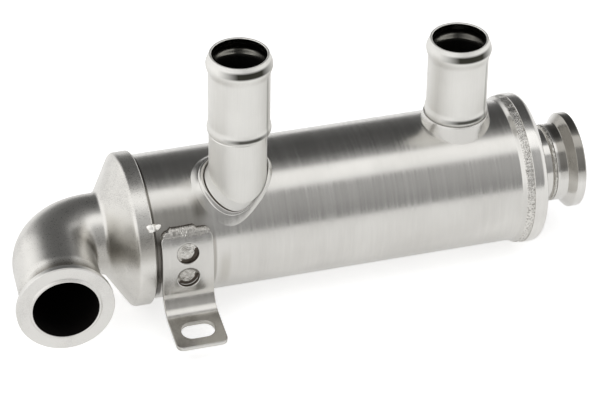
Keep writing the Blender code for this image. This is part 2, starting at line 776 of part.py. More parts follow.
slot_centre = FOOT_START + FOOT_ALONG * SLOT_SETBACK + Vector((BRACKET_X, 0, 0))
slot_form = bmesh.new()
slot_line = []
for i in range(17):
    angle = -pi / 2 + pi * i / 16
    slot_line.append(((SLOT_LENGTH - SLOT_WIDTH) / 2 + SLOT_WIDTH / 2 * cos(angle), SLOT_WIDTH / 2 * sin(angle)))
slot_line += [(-x, -y) for x, y in slot_line]
slot_face = slot_form.faces.new([slot_form.verts.new((x, y, -BRACKET_THICKNESS * 2)) for x, y in slot_line])
slot_up = bmesh.ops.extrude_face_region(slot_form, geom=[slot_face])
bmesh.ops.translate(
    slot_form,
    vec=(0, 0, BRACKET_THICKNESS * 3),
    verts=[item for item in slot_up["geom"] if isinstance(item, bmesh.types.BMVert)],
)
slot = add_cutter(
    "slot_cut", slot_form, location=slot_centre, rotation=(radians(BRACKET_FOOT_SLOPE), 0, 0)
)
combine(bracket, slot, "DIFFERENCE")

# Plug welds in the bracket's two round holes, each a little below the strip's face
PLUG_LEVELS = (("lower", -PLUG_HOLE_DROP), ("upper", PLUG_HOLE_SPACING - PLUG_HOLE_DROP))
plug_backs = add_cutter(
    "plug_back_form",
    solid_cylinder(SHELL_RADIUS + CLEARANCE, BRACKET_WIDTH, SHELL_FACETS),
    location=(BRACKET_X - BRACKET_WIDTH / 2, 0, 0),
    rotation=ALONG_BODY,
)
for label, plug_z in PLUG_LEVELS:
    hole = add_cutter(
        "plug_hole_" + label,
        solid_cylinder(PLUG_HOLE_DIAMETER / 2, SHELL_RADIUS, 24),
        location=(BRACKET_X, LEG_BACK_Y + SHELL_RADIUS / 2, plug_z),
        rotation=(radians(90), 0, 0),
    )
    combine(bracket, hole, "DIFFERENCE")
    plug_front = LEG_FRONT_Y + PLUG_RECESS
    plug = add_piece(
        "plug_weld_" + label,
        solid_cylinder(PLUG_HOLE_DIAMETER / 2 - CLEARANCE, SHELL_RADIUS / 2, 24),
        WELD,
        0.5,
        location=(BRACKET_X, plug_front + SHELL_RADIUS / 2, plug_z),
        rotation=(radians(90), 0, 0),
    )
    combine(plug, plug_backs, "DIFFERENCE")


# Weld beads
def ring_bead(name, start, width, radius, height, facets):
    """A rounded bead laid round the body on a surface of this radius."""
    outline = [(start, radius), (start + width, radius)]
    for step in range(1, 4):
        angle = pi * step / 4
        outline.append((start + width / 2 + width / 2 * cos(angle), radius + height * sin(angle)))
    return add_piece(name, turned(outline, facets), WELD, 0.5, rotation=ALONG_BODY)


ring_bead(
    "shell_end_weld",
    CAP_START_X - CLEARANCE - RING_WELD_WIDTH,
    RING_WELD_WIDTH,
    SHELL_RADIUS + CLEARANCE,
    RING_WELD_HEIGHT,
    SHELL_FACETS,
)
ring_bead(
    "outlet_neck_weld",
    OUTLET_FLANGE_X - CLEARANCE - NECK_WELD_WIDTH,
    NECK_WELD_WIDTH,
    OUTLET_NECK_RADIUS + CLEARANCE,
    NECK_WELD_HEIGHT,
    FLANGE_FACETS,
)


def edge_bead_form():
    """A bead along the bracket's top edge, as wide as the strip and rounded off at both ends."""
    start = radians(BRACKET_WRAP_ANGLE) + CLEARANCE / SHELL_RADIUS
    reach = EDGE_WELD_WIDTH / SHELL_RADIUS
    base = SHELL_RADIUS + CLEARANCE
    rings = []
    steps = 12
    for step in range(steps + 1):
        share = 2 * step / steps - 1
        swell = sqrt(max(1 - share * share, 0.04))
        x = (BRACKET_WIDTH / 2 - BRACKET_CORNER / 2) * share
        section = [(start, base), (start, base + EDGE_WELD_HEIGHT * swell)]
        for turn in (35, 65):
            angle = start + reach * swell * sin(radians(turn))
            section.append((angle, base + EDGE_WELD_HEIGHT * swell * cos(radians(turn))))
        section.append((start + reach * swell, base))
        rings.append([Vector((x, -r * cos(a), r * sin(a))) for a, r in section])
    form = bmesh.new()
    loops = [[form.verts.new(point) for point in ring] for ring in rings]
    for a, b in zip(loops, loops[1:]):
        for i in range(len(a)):
            form.faces.new((a[i - 1], a[i], b[i], b[i - 1]))
    form.faces.new(loops[0])
    form.faces.new(loops[-1])
    return form


add_piece("bracket_edge_weld", edge_bead_form(), WELD, 0.5, location=(BRACKET_X, 0, 0))

# Tack weld between the skirt's edge and the shell
tack_angle = radians(TACK_WELD_ANGLE)
tack_form = bmesh.new()
bmesh.ops.create_uvsphere(tack_form, u_segments=10, v_segments=6, radius=TACK_WELD_SIZE / 2)
tack_radius = SHELL_RADIUS + CLEARANCE + TACK_WELD_SIZE / 2
add_piece(
    "skirt_tack_weld",
    tack_form,
    WELD,
    0.5,
    location=(
        SKIRT_OVERLAP + CLEARANCE + TACK_WELD_SIZE / 2,
        -tack_radius * cos(tack_angle),
        tack_radius * sin(tack_angle),
    ),
)
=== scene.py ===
"""Looks of a shell and tube exhaust gas cooler, set on a pale studio floor.

Every visible piece is a fine surface that stands for the faceted solid of the same name. Lengths
are in metres. A shape is first written round the body's own axis, with x = 0 at the shell's inlet
end, and then moved to its place in the row frame.
"""

from math import cos, pi, radians, sin, tan

import bmesh
import bpy
import numpy as np
from mathutils import Matrix


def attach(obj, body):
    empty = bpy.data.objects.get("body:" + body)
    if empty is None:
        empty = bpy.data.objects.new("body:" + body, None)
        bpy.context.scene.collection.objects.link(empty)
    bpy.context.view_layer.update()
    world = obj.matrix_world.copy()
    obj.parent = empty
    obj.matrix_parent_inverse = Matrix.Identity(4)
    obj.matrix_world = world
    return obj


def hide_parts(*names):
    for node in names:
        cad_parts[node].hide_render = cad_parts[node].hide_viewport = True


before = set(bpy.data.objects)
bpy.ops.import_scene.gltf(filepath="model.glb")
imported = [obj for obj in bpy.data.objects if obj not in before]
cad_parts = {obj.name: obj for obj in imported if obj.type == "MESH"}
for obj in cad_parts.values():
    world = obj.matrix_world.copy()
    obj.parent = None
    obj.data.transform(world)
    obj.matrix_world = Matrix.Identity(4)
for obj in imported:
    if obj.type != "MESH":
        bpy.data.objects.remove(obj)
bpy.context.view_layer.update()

# Camera at the photograph's viewing angle
CAMERA_PLACE = (-0.2429, -0.915975, 0.739890)
CAMERA_RIGHT = (0.9584, -0.2852, 0.0151)
CAMERA_UP = (0.1525, 0.5558, 0.8171)
CAMERA_BACK = (-0.2414, -0.7808, 0.5761)
CAMERA_LENS = 177.84

camera_data = bpy.data.cameras.new("photo_camera")
camera_data.lens = CAMERA_LENS
camera_data.sensor_width = 36.0
camera_data.clip_start = 0.05
camera_data.clip_end = 20.0
camera = bpy.data.objects.new("photo_camera", camera_data)
bpy.context.scene.collection.objects.link(camera)
camera_rows = zip(CAMERA_RIGHT, CAMERA_UP, CAMERA_BACK, CAMERA_PLACE)
camera.matrix_world = Matrix([*camera_rows, (0, 0, 0, 1)])
bpy.context.scene.camera = camera
bpy.context.scene.view_settings.view_transform = "Standard"

# Where the body's axis lies in the row frame
BODY_PLACE = np.array((-0.0187, 0.053092, 0.024210))

# Main sizes, as the solids have them
SHELL_R = 0.03015
SHELL_WALL = 0.0015
SHELL_L = 0.1730
FIT = 0.0003

LONG_X = 0.0456
LONG_Y = -0.0113
LONG_TOP = 0.0852
LONG_BEAD_Z = 0.0506
LONG_STEP = 0.0007
LONG_SHIFT = 0.0005
SHORT_X = 0.1427
SHORT_TOP = 0.0697
SHORT_BEAD_Z = 0.03575
PIPE_R = 0.0126
PIPE_WALL = 0.0011
PIPE_LOW = 0.034
PIPE_TUCK = 0.0004
PIPE_TUCK_HEIGHT = 0.0034
END_BEAD_SETBACK = 0.0046
END_BEAD_WIDTH = 0.0088
END_BEAD_HEIGHT = 0.0010
STOP_BEAD_WIDTH = 0.0064
STOP_BEAD_HEIGHT = 0.0006
MOUTH_DEPTH = 0.0075
# Each pipe as x, y, top and the height of its second bead
LONG_PIPE = (LONG_X, LONG_Y, LONG_TOP, LONG_BEAD_Z)
SHORT_PIPE = (SHORT_X, 0.0, SHORT_TOP, SHORT_BEAD_Z)

LONG_NECK_X = 0.0430
LONG_PIPE_OFF = 0.0021
LONG_NECK_HEIGHT = 0.0013
SHORT_NECK_BORE = 0.0129
SHORT_NECK_LIP = 0.03365
SHORT_LIP_WIDTH = 0.0007
SHORT_FLARE = 0.0010

SKIRT_R = 0.03215
SKIRT_BORE = 0.03045
SKIRT_REACH = 0.0056
SHOULDER = 0.0013
CONE_END = 0.0108
SEAT_BORE = 0.02865
SEAT_GAP = 0.0003
ELBOW_R = 0.01705
ELBOW_BORE = 0.01465
BEND_R = 0.0187
BEND_X = -0.0148
BEND_ANGLE = radians(86.0)
ELBOW_RUN = 0.0292
ELBOW_NECK_L = 0.0060
FLANGE_L = 0.0066
FLANGE_R = 0.01985
FLANGE_BORE = 0.0137
FLANGE_NECK = 0.0155

CAP_START = 0.1686
CAP_FACE = 0.1751
CAP_R = 0.03205
CAP_SKIRT = 0.0016
CAP_WALL = 0.0018
OUT_NECK_R = 0.0153
OUT_NECK_START = 0.1721
OUT_NECK_END = 0.1857
OUT_BORE = 0.0137
OUT_FLANGE_X = 0.1845
OUT_SOCKET_END = 0.1860
OUT_COLLAR_R = 0.0165
OUT_CONE_START = 0.1891
OUT_CONE_END = 0.1922
OUT_RIM_R = 0.0203
OUT_END = 0.1961

STRIP_X = 0.0187
STRIP_W = 0.0214
STRIP_T = 0.0020
STRIP_BEND = 0.0088
STRIP_LEG = 0.0114
STRIP_SLOPE = radians(9.0)
STRIP_WRAP = radians(26.4)
STRIP_FOOT = 0.0160
STRIP_CORNER = 0.0028


# Surfaces: grids of points, worked out as whole arrays
JOIN_WITHIN = 3e-6


def grid_faces(rows, columns, closed_rows, closed_columns):
    """Quads between neighbouring points, wrapping round where a direction is closed."""
    i = np.arange(rows if closed_rows else rows - 1)[:, None]
    j = np.arange(columns if closed_columns else columns - 1)[None, :]
    i2, j2 = (i + 1) % rows, (j + 1) % columns
    corners = (i * columns + j, i2 * columns + j, i2 * columns + j2, i * columns + j2)
    return np.stack(np.broadcast_arrays(*corners), -1).reshape(-1, 4)


def patch(points, closed_rows=False, closed_columns=False, material=0, keep=None):
    """A grid of points with its faces; keep is a mask over the faces, for a grid with windows.

    The material's number may be one for each row of faces, or one for each face.
    """
    points = np.asarray(points, float)
    rows = points.shape[0] if closed_rows else points.shape[0] - 1
    faces = grid_faces(points.shape[0], points.shape[1], closed_rows, closed_columns)
    material = np.asarray(material)
    material = material[:, None] if material.ndim == 1 else material
    marks = np.broadcast_to(material, (rows, len(faces) // rows)).reshape(-1)
    if keep is not None:
        faces, marks = faces[keep.reshape(-1)], marks[keep.reshape(-1)]
    return points.reshape(-1, 3), faces, marks


def make_piece(name, patches, materials, nodes, sharp=38.0):
    """Joins the patches into one closed mesh in its place, and lets it stand for the nodes."""
    points, faces, start = [], [], 0
    for grid, quads, _ in patches:
        points.append(grid)
        faces.append(quads + start)
        start += len(grid)
    points = np.concatenate(points) + BODY_PLACE
    marks = np.concatenate([part[2] for part in patches])
    mesh = bpy.data.meshes.new(name)
    mesh.from_pydata(points.tolist(), [], np.concatenate(faces).tolist())
    mesh.polygons.foreach_set("material_index", marks.astype(np.int32))
    form = bmesh.new()
    form.from_mesh(mesh)
    bmesh.ops.remove_doubles(form, verts=form.verts, dist=JOIN_WITHIN)
    bmesh.ops.recalc_face_normals(form, faces=form.faces)
    form.to_mesh(mesh)
    form.free()
    for material in materials:
        mesh.materials.append(material)
    mesh.shade_smooth()
    mesh.set_sharp_from_angle(angle=radians(sharp))
    made = bpy.data.objects.new(name, mesh)
    bpy.context.scene.collection.objects.link(made)
    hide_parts(*nodes)
    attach(made, "root")


def rounded(corners, step=9.0):
    """A closed outline of (along, radius) points whose corners are arcs of the given fillet radius.

    The arc touches both sides at fillet / tan(half the corner's angle) from the corner.
    """
    outline = []
    count = len(corners)
    for index, (x, y, fillet) in enumerate(corners):
        here = np.array((x, y))
        before = np.array(corners[index - 1][:2]) - here
        after = np.array(corners[(index + 1) % count][:2]) - here
        if fillet <= 0:
            outline.append(here[None])
            continue
        reach_a, reach_b = np.hypot(*before), np.hypot(*after)
        before, after = before / reach_a, after / reach_b
        half = np.arccos(np.clip(before @ after, -1, 1)) / 2
        reach = min(fillet / tan(half), 0.49 * reach_a, 0.49 * reach_b)
        radius = reach * tan(half)
        middle = here + (before + after) / np.hypot(*(before + after)) * radius / sin(half)
        first, last = here + before * reach - middle, here + after * reach - middle
        turn = np.arctan2(first[0] * last[1] - first[1] * last[0], first @ last)
        t = np.linspace(0, turn, max(3, int(abs(turn) / radians(step)) + 2))[:, None]
        outline.append(middle + first * np.cos(t) + np.array((-first[1], first[0])) * np.sin(t))
    return np.concatenate(outline)


def spans(stops, counts):
    """One rising line of numbers through the stops, with so many even steps between each two."""
    parts = [np.linspace(a, b, n, endpoint=False) for a, b, n in zip(stops, stops[1:], counts)]
    return np.concatenate(parts + [np.array(stops[-1:])])


def spread(outline, longest):
    """The closed outline with points added so that no step is longer than this."""
    ends = np.roll(outline, -1, axis=0)
    parts = []
    for a, b in zip(outline, ends):
        n = max(1, int(np.ceil(np.hypot(*(b - a)) / longest)))
        parts.append(a + (b - a) * np.linspace(0, 1, n, endpoint=False)[:, None])
    return np.concatenate(parts)


def outside(first, second, windows):
    """Mask over a grid's faces that leaves out windows, each a middle and half size both ways."""
    a, b = [(line[1:] + line[:-1]) / 2 for line in (first, second)]
    keep = np.ones((len(a), len(b)), bool)
    for middle_a, half_a, middle_b, half_b in windows:
        inside_a, inside_b = np.abs(a - middle_a) < half_a, np.abs(b - middle_b) < half_b
        keep &= ~(inside_a[:, None] & inside_b[None, :])
    return keep


def loop_round(first, second):
    """Points of a grid's outer edge in order, from the two lists of stations between its sides."""
    a, b = first, second
    s = np.concatenate((a[:-1], np.full(len(b) - 1, a[-1]), a[:0:-1], np.full(len(b) - 1, a[0])))
    u = np.concatenate((np.full(len(a) - 1, b[0]), b[:-1], np.full(len(a) - 1, b[-1]), b[:0:-1]))
    return s, u


def circle(count):
    """Angles of so many even steps round a circle."""
    return np.linspace(0, 2 * pi, count, endpoint=False)


def turned(outline, count=128, centre=(0, 0, 0), axis=(1, 0, 0), side=(0, -1, 0)):
    """The outline's (along, radius) points carried round an axis in even steps a.

    Each point is centre + axis * along + radius * (side * cos a + up * sin a).
    """
    axis, side = np.array(axis, float), np.array(side, float)
    up = np.cross(side, axis)
    a = circle(count)[None, :, None]
    along, radius = outline[:, 0, None, None], outline[:, 1, None, None]
    return np.array(centre) + axis * along + radius * (side * np.cos(a) + up * np.sin(a))


def top_of(y, radius):
    """Height of a round tube of this radius above the side distance y."""
    return np.sqrt(np.maximum(radius * radius - y * y, 0.0))


def waves(seed, count, low, high):
    """(frequency, phase, weight) rows of a repeatable sum of sines, with whole frequencies."""
    draw = np.random.default_rng(seed)
    return np.stack(
        (
            draw.integers(low, high, count),
            draw.uniform(0, 2 * pi, count),
            draw.uniform(0.4, 1.0, count),
        ),
        -1,
    )


def ripple(t, rows):
    """Sum of the sines weight * sin(frequency t + phase), scaled to about plus or minus one."""
    total = sum(weight * np.sin(freq * t + phase) for freq, phase, weight in rows)
    return total / np.sqrt((rows[:, 2] ** 2).sum())


# Materials
def node(tree, kind, inputs=(), **settings):
    """Adds a shader node, sets its properties, and fills or links its inputs."""
    made = tree.nodes.new(kind)
    for key, value in settings.items():
        setattr(made, key, value)
    for key, value in dict(inputs).items():
        if isinstance(value, bpy.types.NodeSocket):
            tree.links.new(value, made.inputs[key])
        else:
            made.inputs[key].default_value = value
    return made


def math_node(tree, operation, first, second):
    """Result of one sum on two values."""
    return node(tree, "ShaderNodeMath", {0: first, 1: second}, operation=operation).outputs[0]


def blend(tree, factor, first, second, kind="MIX"):
    """Colour that goes from the first to the second, or to their product, with the factor."""
    inputs = {"Factor": factor, 6: first, 7: second}
    return node(tree, "ShaderNodeMix", inputs, data_type="RGBA", blend_type=kind).outputs[2]


def stretched_noise(tree, scale, detail, rough):
    """Noise on the piece's own coordinates; scale is grains per metre along X, Y and Z."""
    where = node(tree, "ShaderNodeTexCoord").outputs["Object"]
    placed = node(tree, "ShaderNodeMapping", {"Vector": where, "Scale": scale}).outputs[0]
    made = node(
        tree,
        "ShaderNodeTexNoise",
        {"Vector": placed, "Scale": 1.0, "Detail": detail, "Roughness": rough},
    )
    return made.outputs["Fac"]


def ranged(tree, value, low, high, to_low, to_high):
    """The value's stretch from low to high spread over another stretch, held at its ends."""
    made = node(
        tree,
        "ShaderNodeMapRange",
        {"Value": value, "From Min": low, "From Max": high, "To Min": to_low, "To Max": to_high},
    )
    return made.outputs[0]


WARMTH = np.array((1.0, 0.994, 0.972))


def tinted(tree, value, first, second, low, high):
    """Colour, a little warmed, from first to second as the value goes from low to high."""
    ramp = node(tree, "ShaderNodeValToRGB", {"Fac": value})
    for stop, place, colour in zip(ramp.color_ramp.elements, (low, high), (first, second)):
        stop.position = place
        stop.color = (*(WARMTH * colour), 1)
    return ramp.outputs[0]


def new_metal(name):
    """An empty metal with its Principled shader."""
    made = bpy.data.materials.new(name)
    made.use_nodes = True
    tree = made.node_tree
    shader = tree.nodes["Principled BSDF"]
    shader.inputs["Metallic"].default_value = 1.0
    return made, tree, shader


def surfaced(tree, shader, colour, roughness, heights):
    """Gives the shader its colour, its roughness and (height, strength, depth in metres) bumps."""
    tree.links.new(colour, shader.inputs["Base Color"])
    tree.links.new(roughness, shader.inputs["Roughness"])
    normal = None
    for height, strength, depth in heights:
        inputs = {"Height": height, "Strength": strength, "Distance": depth}
        if normal is not None:
            inputs["Normal"] = normal
        normal = node(tree, "ShaderNodeBump", inputs).outputs[0]
    tree.links.new(normal, shader.inputs["Normal"])


def shaded(tree, colour, marks):
    """Paints shade into a colour: deepens it inside soft-edged boxes,
    each as (middle, half size, soft edge, tint).

    Their lengths are in millimetres, in the body's axes.
    """
    where = node(tree, "ShaderNodeTexCoord").outputs["Object"]
    for middle, half, soft, tint in marks:
        away = where
        for act, size in (
            ("SUBTRACT", np.array(middle) / 1000 + BODY_PLACE),
            ("ABSOLUTE", None),
            ("SUBTRACT", np.array(half) / 1000),
            ("DIVIDE", np.array(soft) / 1000),
        ):
            inputs = {0: away} if size is None else {0: away, 1: tuple(map(float, size))}
            away = node(tree, "ShaderNodeVectorMath", inputs, operation=act).outputs[0]
        sides = node(tree, "ShaderNodeSeparateXYZ", {0: away})
        inside = 1.0
        for part in sides.outputs:
            share = ranged(tree, part, 0.0, 1.0, 1.0, 0.0)
            inside = math_node(tree, "MULTIPLY", share, inside)
        colour = blend(tree, inside, colour, (*tint, 1), "MULTIPLY")
    return colour


def brushed_steel(name, dark, light, rough, lines, cross, relief=1.0, marks=()):
    """Steel brushed one way: lines and cross are a fine and a wide noise's grains per metre."""
    made, tree, shader = new_metal(name)
    fine = stretched_noise(tree, lines, 5.0, 0.6)
    wide = stretched_noise(tree, cross, 3.0, 0.5)
    cloud = stretched_noise(tree, (45, 45, 45), 3.0, 0.5)
    both = math_node(tree, "ADD", math_node(tree, "MULTIPLY", fine, wide), cloud)
    surfaced(
        tree,
        shader,
        shaded(tree, tinted(tree, both, dark, light, 0.45, 1.05), marks),
        ranged(tree, wide, 0.3, 0.7, rough - 0.04, rough + 0.05),
        [(fine, 0.35 * relief, 0.00002), (wide, 0.25 * relief, 0.00006)],
    )
    return made


def blasted_steel(name, dark, light, rough, grains=2200.0, marks=()):
    """Cast steel after bead blasting: an even grain with soft, larger dents under it."""
    made, tree, shader = new_metal(name)
    grain = stretched_noise(tree, (grains,) * 3, 3.0, 0.6)
    dents = stretched_noise(tree, (320,) * 3, 2.0, 0.5)
    cloud = stretched_noise(tree, (60,) * 3, 3.0, 0.5)
    both = math_node(tree, "ADD", grain, cloud)
    surfaced(
        tree,
        shader,
        shaded(tree, tinted(tree, both, dark, light, 0.75, 1.25), marks),
        ranged(tree, grain, 0.3, 0.7, rough - 0.05, rough + 0.06),
        [(dents, 0.25, 0.00010), (grain, 0.34, 0.00005)],
    )
    return made


def weld_steel(name, dark, light, rough, grains=700.0, low=0.35, high=0.62):
    """Weld metal: coarse lumps under a fine scale."""
    made, tree, shader = new_metal(name)
    lumps = stretched_noise(tree, (grains,) * 3, 4.0, 0.6)
    scale = stretched_noise(tree, (2600,) * 3, 3.0, 0.6)
    surfaced(
        tree,
        shader,
        tinted(tree, lumps, dark, light, low, high),
        ranged(tree, scale, 0.3, 0.7, rough - 0.08, rough + 0.10),
        [(lumps, 0.7, 0.245 / grains), (scale, 0.5, 0.00008)],
    )
    return made


# Places that stand darker in the photograph: (middle, half size, soft edge, tint), in millimetres
# Painted shade on the shell: beside the long neck's foot, at the skirt's edge, in the channel
# between skirt and bracket, in the zone behind the edge weld and in two strips right of the bracket
SHELL_PAINTED_SHADE = [
    ((26.2, -21.5, 21.0), (1.2, 2.0, 1.8), (3.2, 4.0, 3.6), (0.58, 0.57, 0.55)),
    ((5.9, 0.0, 0.0), (0.6, 40.0, 40.0), (0.4, 1.0, 1.0), (0.30, 0.29, 0.27)),
    ((7.3, -30.0, -2.0), (0.7, 12.0, 13.0), (0.6, 4.0, 4.0), (0.22, 0.21, 0.20)),
    ((16.0, -24.0, 16.5), (9.0, 6.0, 4.0), (6.0, 4.0, 6.0), (0.66, 0.65, 0.63)),
    ((34.8, -29.0, -7.0), (1.0, 8.0, 5.0), (2.0, 6.0, 6.0), (0.88, 0.87, 0.85)),
    ((30.4, -29.0, -2.0), (0.5, 8.0, 10.0), (0.6, 6.0, 5.0), (0.66, 0.64, 0.62)),
]
# Painted shade on the skirt beside the tack weld, on the neck behind the inlet flange, and in
# the elbow's inner corner
CAST_PAINTED_SHADE = [
    ((2.2, -28.5, 11.0), (3.4, 3.0, 3.0), (0.8, 4.0, 5.0), (0.66, 0.65, 0.63)),
    ((-30.0, -40.0, 19.0), (15.0, 2.4, 10.0), (4.0, 2.8, 6.0), (0.40, 0.39, 0.37)),
    ((-13.0, -25.0, 6.0), (3.0, 6.0, 8.0), (4.5, 7.0, 7.0), (0.55, 0.54, 0.52)),
]
# Painted shade on the bracket's foot, and on its leg under the holes
STRIP_PAINTED_SHADE = [
    ((18.7, -47.0, -22.5), (15.0, 7.9, 4.5), (1.0, 0.5, 1.0), (0.74, 0.73, 0.71)),
    ((18.7, -26.0, -15.0), (15.0, 7.0, 4.0), (1.0, 6.0, 5.0), (0.84, 0.83, 0.81)),
]
# Painted shade on the top of the outlet flange
CAP_PAINTED_SHADE = [
    ((191.2, -8.0, 15.0), (5.2, 14.0, 8.0), (0.8, 6.0, 6.0), (0.48, 0.47, 0.45)),
]


def pipe_painted_shade(*place):
    """Painted shade for a pipe's x, y, top and bead height: painted dark reflections under rim
    and bead, and a shaded line at its right.
    """
    x, y, top, bead = (1000 * value for value in place)
    front = y - 12.5
    return [
        ((x + 1.0, front, top - 3.1), (5.0, 8.0, 0.9), (7.0, 4.0, 0.8), (0.06, 0.06, 0.05)),
        ((x + 1.0, front, bead + 0.3), (4.0, 6.0, 0.4), (7.0, 4.0, 0.8), (0.12, 0.12, 0.11)),
        ((x + 9.5, y - 8.7, top - 24.0), (0.2, 2.0, 13.0), (0.6, 2.0, 6.0), (0.62, 0.62, 0.61)),
    ]


SHELL_STEEL = brushed_steel(
    "brushed_shell",
    (0.560, 0.551, 0.536),
    (0.650, 0.642, 0.628),
    0.22, (5200, 60, 60), (900, 22, 22), marks=SHELL_PAINTED_SHADE,
)
CAP_STEEL = brushed_steel(
    "spun_cap",
    (0.610, 0.600, 0.586),
    (0.730, 0.722, 0.710),
    0.17, (5200, 60, 60), (700, 40, 40), marks=CAP_PAINTED_SHADE,
)
LONG_PIPE_STEEL, SHORT_PIPE_STEEL = [
    brushed_steel(
        name,
        (0.730, 0.725, 0.710),
        (0.800, 0.795, 0.782),
        0.54, (1600, 1600, 70), (260, 260, 16), marks=pipe_painted_shade(*place),
    )
    for name, place in (("satin_long_pipe", LONG_PIPE), ("satin_short_pipe", SHORT_PIPE))
]
# Painted shade: the pipes' insides below the mouth, coloured near black
PIPE_BORE_SHADE = blasted_steel("pipe_bore_painted_shade", (0.030, 0.029, 0.027), (0.060, 0.058, 0.054), 0.45)
MOUTH_STEEL = brushed_steel(
    "pipe_mouth",
    (0.420, 0.415, 0.402),
    (0.520, 0.515, 0.500),
    0.16, (60, 60, 2600), (40, 40, 420), 0.5,
)
STRIP_STEEL = brushed_steel(
    "rolled_strip",
    (0.540, 0.531, 0.516),
    (0.650, 0.642, 0.628),
    0.22, (2600, 90, 90), (420, 60, 60), 0.35, STRIP_PAINTED_SHADE,
)
CAST_STEEL = blasted_steel(
    "blasted_casting", (0.500, 0.490, 0.475), (0.690, 0.680, 0.662), 0.31, marks=CAST_PAINTED_SHADE
)
FACE_STEEL = blasted_steel(
    "machined_face", (0.610, 0.602, 0.588), (0.700, 0.692, 0.680), 0.33, 2400.0
)
WELD_STEEL = weld_steel(
    "weld_metal", (0.260, 0.248, 0.230), (0.690, 0.678, 0.660), 0.26, 1500.0, 0.36, 0.50
)
BEAD_STEEL = weld_steel("bead_metal", (0.400, 0.385, 0.360), (0.660, 0.650, 0.630), 0.22)
POOL_STEEL = blasted_steel("weld_pool", (0.300, 0.288, 0.270), (0.470, 0.458, 0.440), 0.30)
# Painted shade: near-black metal for grooves and pits beside the welds and the long pipe
GROOVE_SHADE = blasted_steel("painted_groove_shade", (0.045, 0.036, 0.030), (0.110, 0.092, 0.080), 0.50)
# Near-white metal: painted glints on the edge weld's lumps, and the bright tack weld
GLINT_AND_BRIGHT_WELD = blasted_steel("weld_glint_and_bright_tack", (0.820, 0.810, 0.790), (0.940, 0.930, 0.915), 0.45)
# The inside of the inlet's bore, coloured near black
NEAR_BLACK_BORE = blasted_steel("near_black_bore", (0.012, 0.011, 0.010), (0.022, 0.020, 0.019), 0.72)
INNER_STEEL = brushed_steel(
    "mill_finish",
    (0.300, 0.295, 0.285),
    (0.380, 0.372, 0.362),
    0.40, (60, 1800, 1800), (20, 300, 300),
)


# Shell, with its two necks drawn out of the tube
WINDOWS = {
    "long": (LONG_NECK_X - 0.0015, 0.0185, radians(-14), radians(74)),
    "short": (SHORT_X, 0.0180, radians(-36), radians(36)),
}
SHELL_ANGLES = spans([radians(a) for a in (-36, -14, 36, 74, 324)], (11, 25, 19, 125))
window_ends = [
    centre + side * half for centre, half, _, _ in WINDOWS.values() for side in (-1, 1)
]
SHELL_STATIONS = spans([0.0, *window_ends, SHELL_L], (10, 26, 24, 26, 6))


def on_tube(x, angle, radius):
    """Point of a tube at this length and at this angle from its top towards -Y."""
    return np.stack(np.broadcast_arrays(x, -radius * np.sin(angle), radius * np.cos(angle)), -1)


def windowed_tube(radius):
    """The tube's wall as one grid with a rectangular window left open round each neck."""
    x, a = np.meshgrid(SHELL_STATIONS, SHELL_ANGLES[:-1], indexing="ij")
    windows = [(*at, (low + high) / 2, (high - low) / 2) for *at, low, high in WINDOWS.values()]
    keep = outside(SHELL_STATIONS, SHELL_ANGLES, windows)
    return patch(on_tube(x, a, radius), False, True, 0, keep)


def window_edge(which):
    """(length, angle) of the grid points round a window, and each one's turn about its middle."""
    centre, half, low, high = WINDOWS[which]
    stations = SHELL_STATIONS[np.abs(SHELL_STATIONS - centre) < half + 1e-6]
    angles = SHELL_ANGLES[(SHELL_ANGLES > low - 1e-6) & (SHELL_ANGLES < high + 1e-6)]
    x, a = loop_round(stations, angles)
    turn = np.arctan2((a - (low + high) / 2) / ((high - low) / 2), (x - centre) / half)
    return x, a, turn


def lobed(terms, t):
    """Distance to a rounded outline in direction t: a + b cos t + c sin t + d cos 2t + e sin 2t."""
    a, b, c, d, e = terms
    return a + b * np.cos(t) + c * np.sin(t) + d * np.cos(2 * t) + e * np.sin(2 * t)


def pipe_edge(t, radius):
    """Distance in direction t to a circle whose middle lies LONG_PIPE_OFF to +X of the neck's."""
    off = LONG_PIPE_OFF
    return off * np.cos(t) + np.sqrt(radius**2 - (off * np.sin(t)) ** 2)


def long_lines(t):
    """Foot, lip and bore of the long pipe's neck, each as its distance from the middle."""
    foot = lobed((0.01597, -0.00060, 0.00065, 0.00128, -0.00163), t)
    lip = lobed((0.01409, 0.00047, 0.00099, 0.00101, -0.00163), t)
    bore = lobed((0.01321, 0.00121, 0.00068, 0.00032, -0.00141), t)
    bore = np.maximum(bore, pipe_edge(t, PIPE_R - LONG_STEP + 0.00012))
    lip = np.maximum(lip, bore + 0.00045)
    return np.maximum(foot, lip + 0.00050), lip, bore


def short_lines(t):
    """The short pipe's neck is round."""
    lip = SHORT_NECK_BORE + SHORT_LIP_WIDTH
    return [np.full_like(t, radius) for radius in (lip + SHORT_FLARE, lip, SHORT_NECK_BORE)]


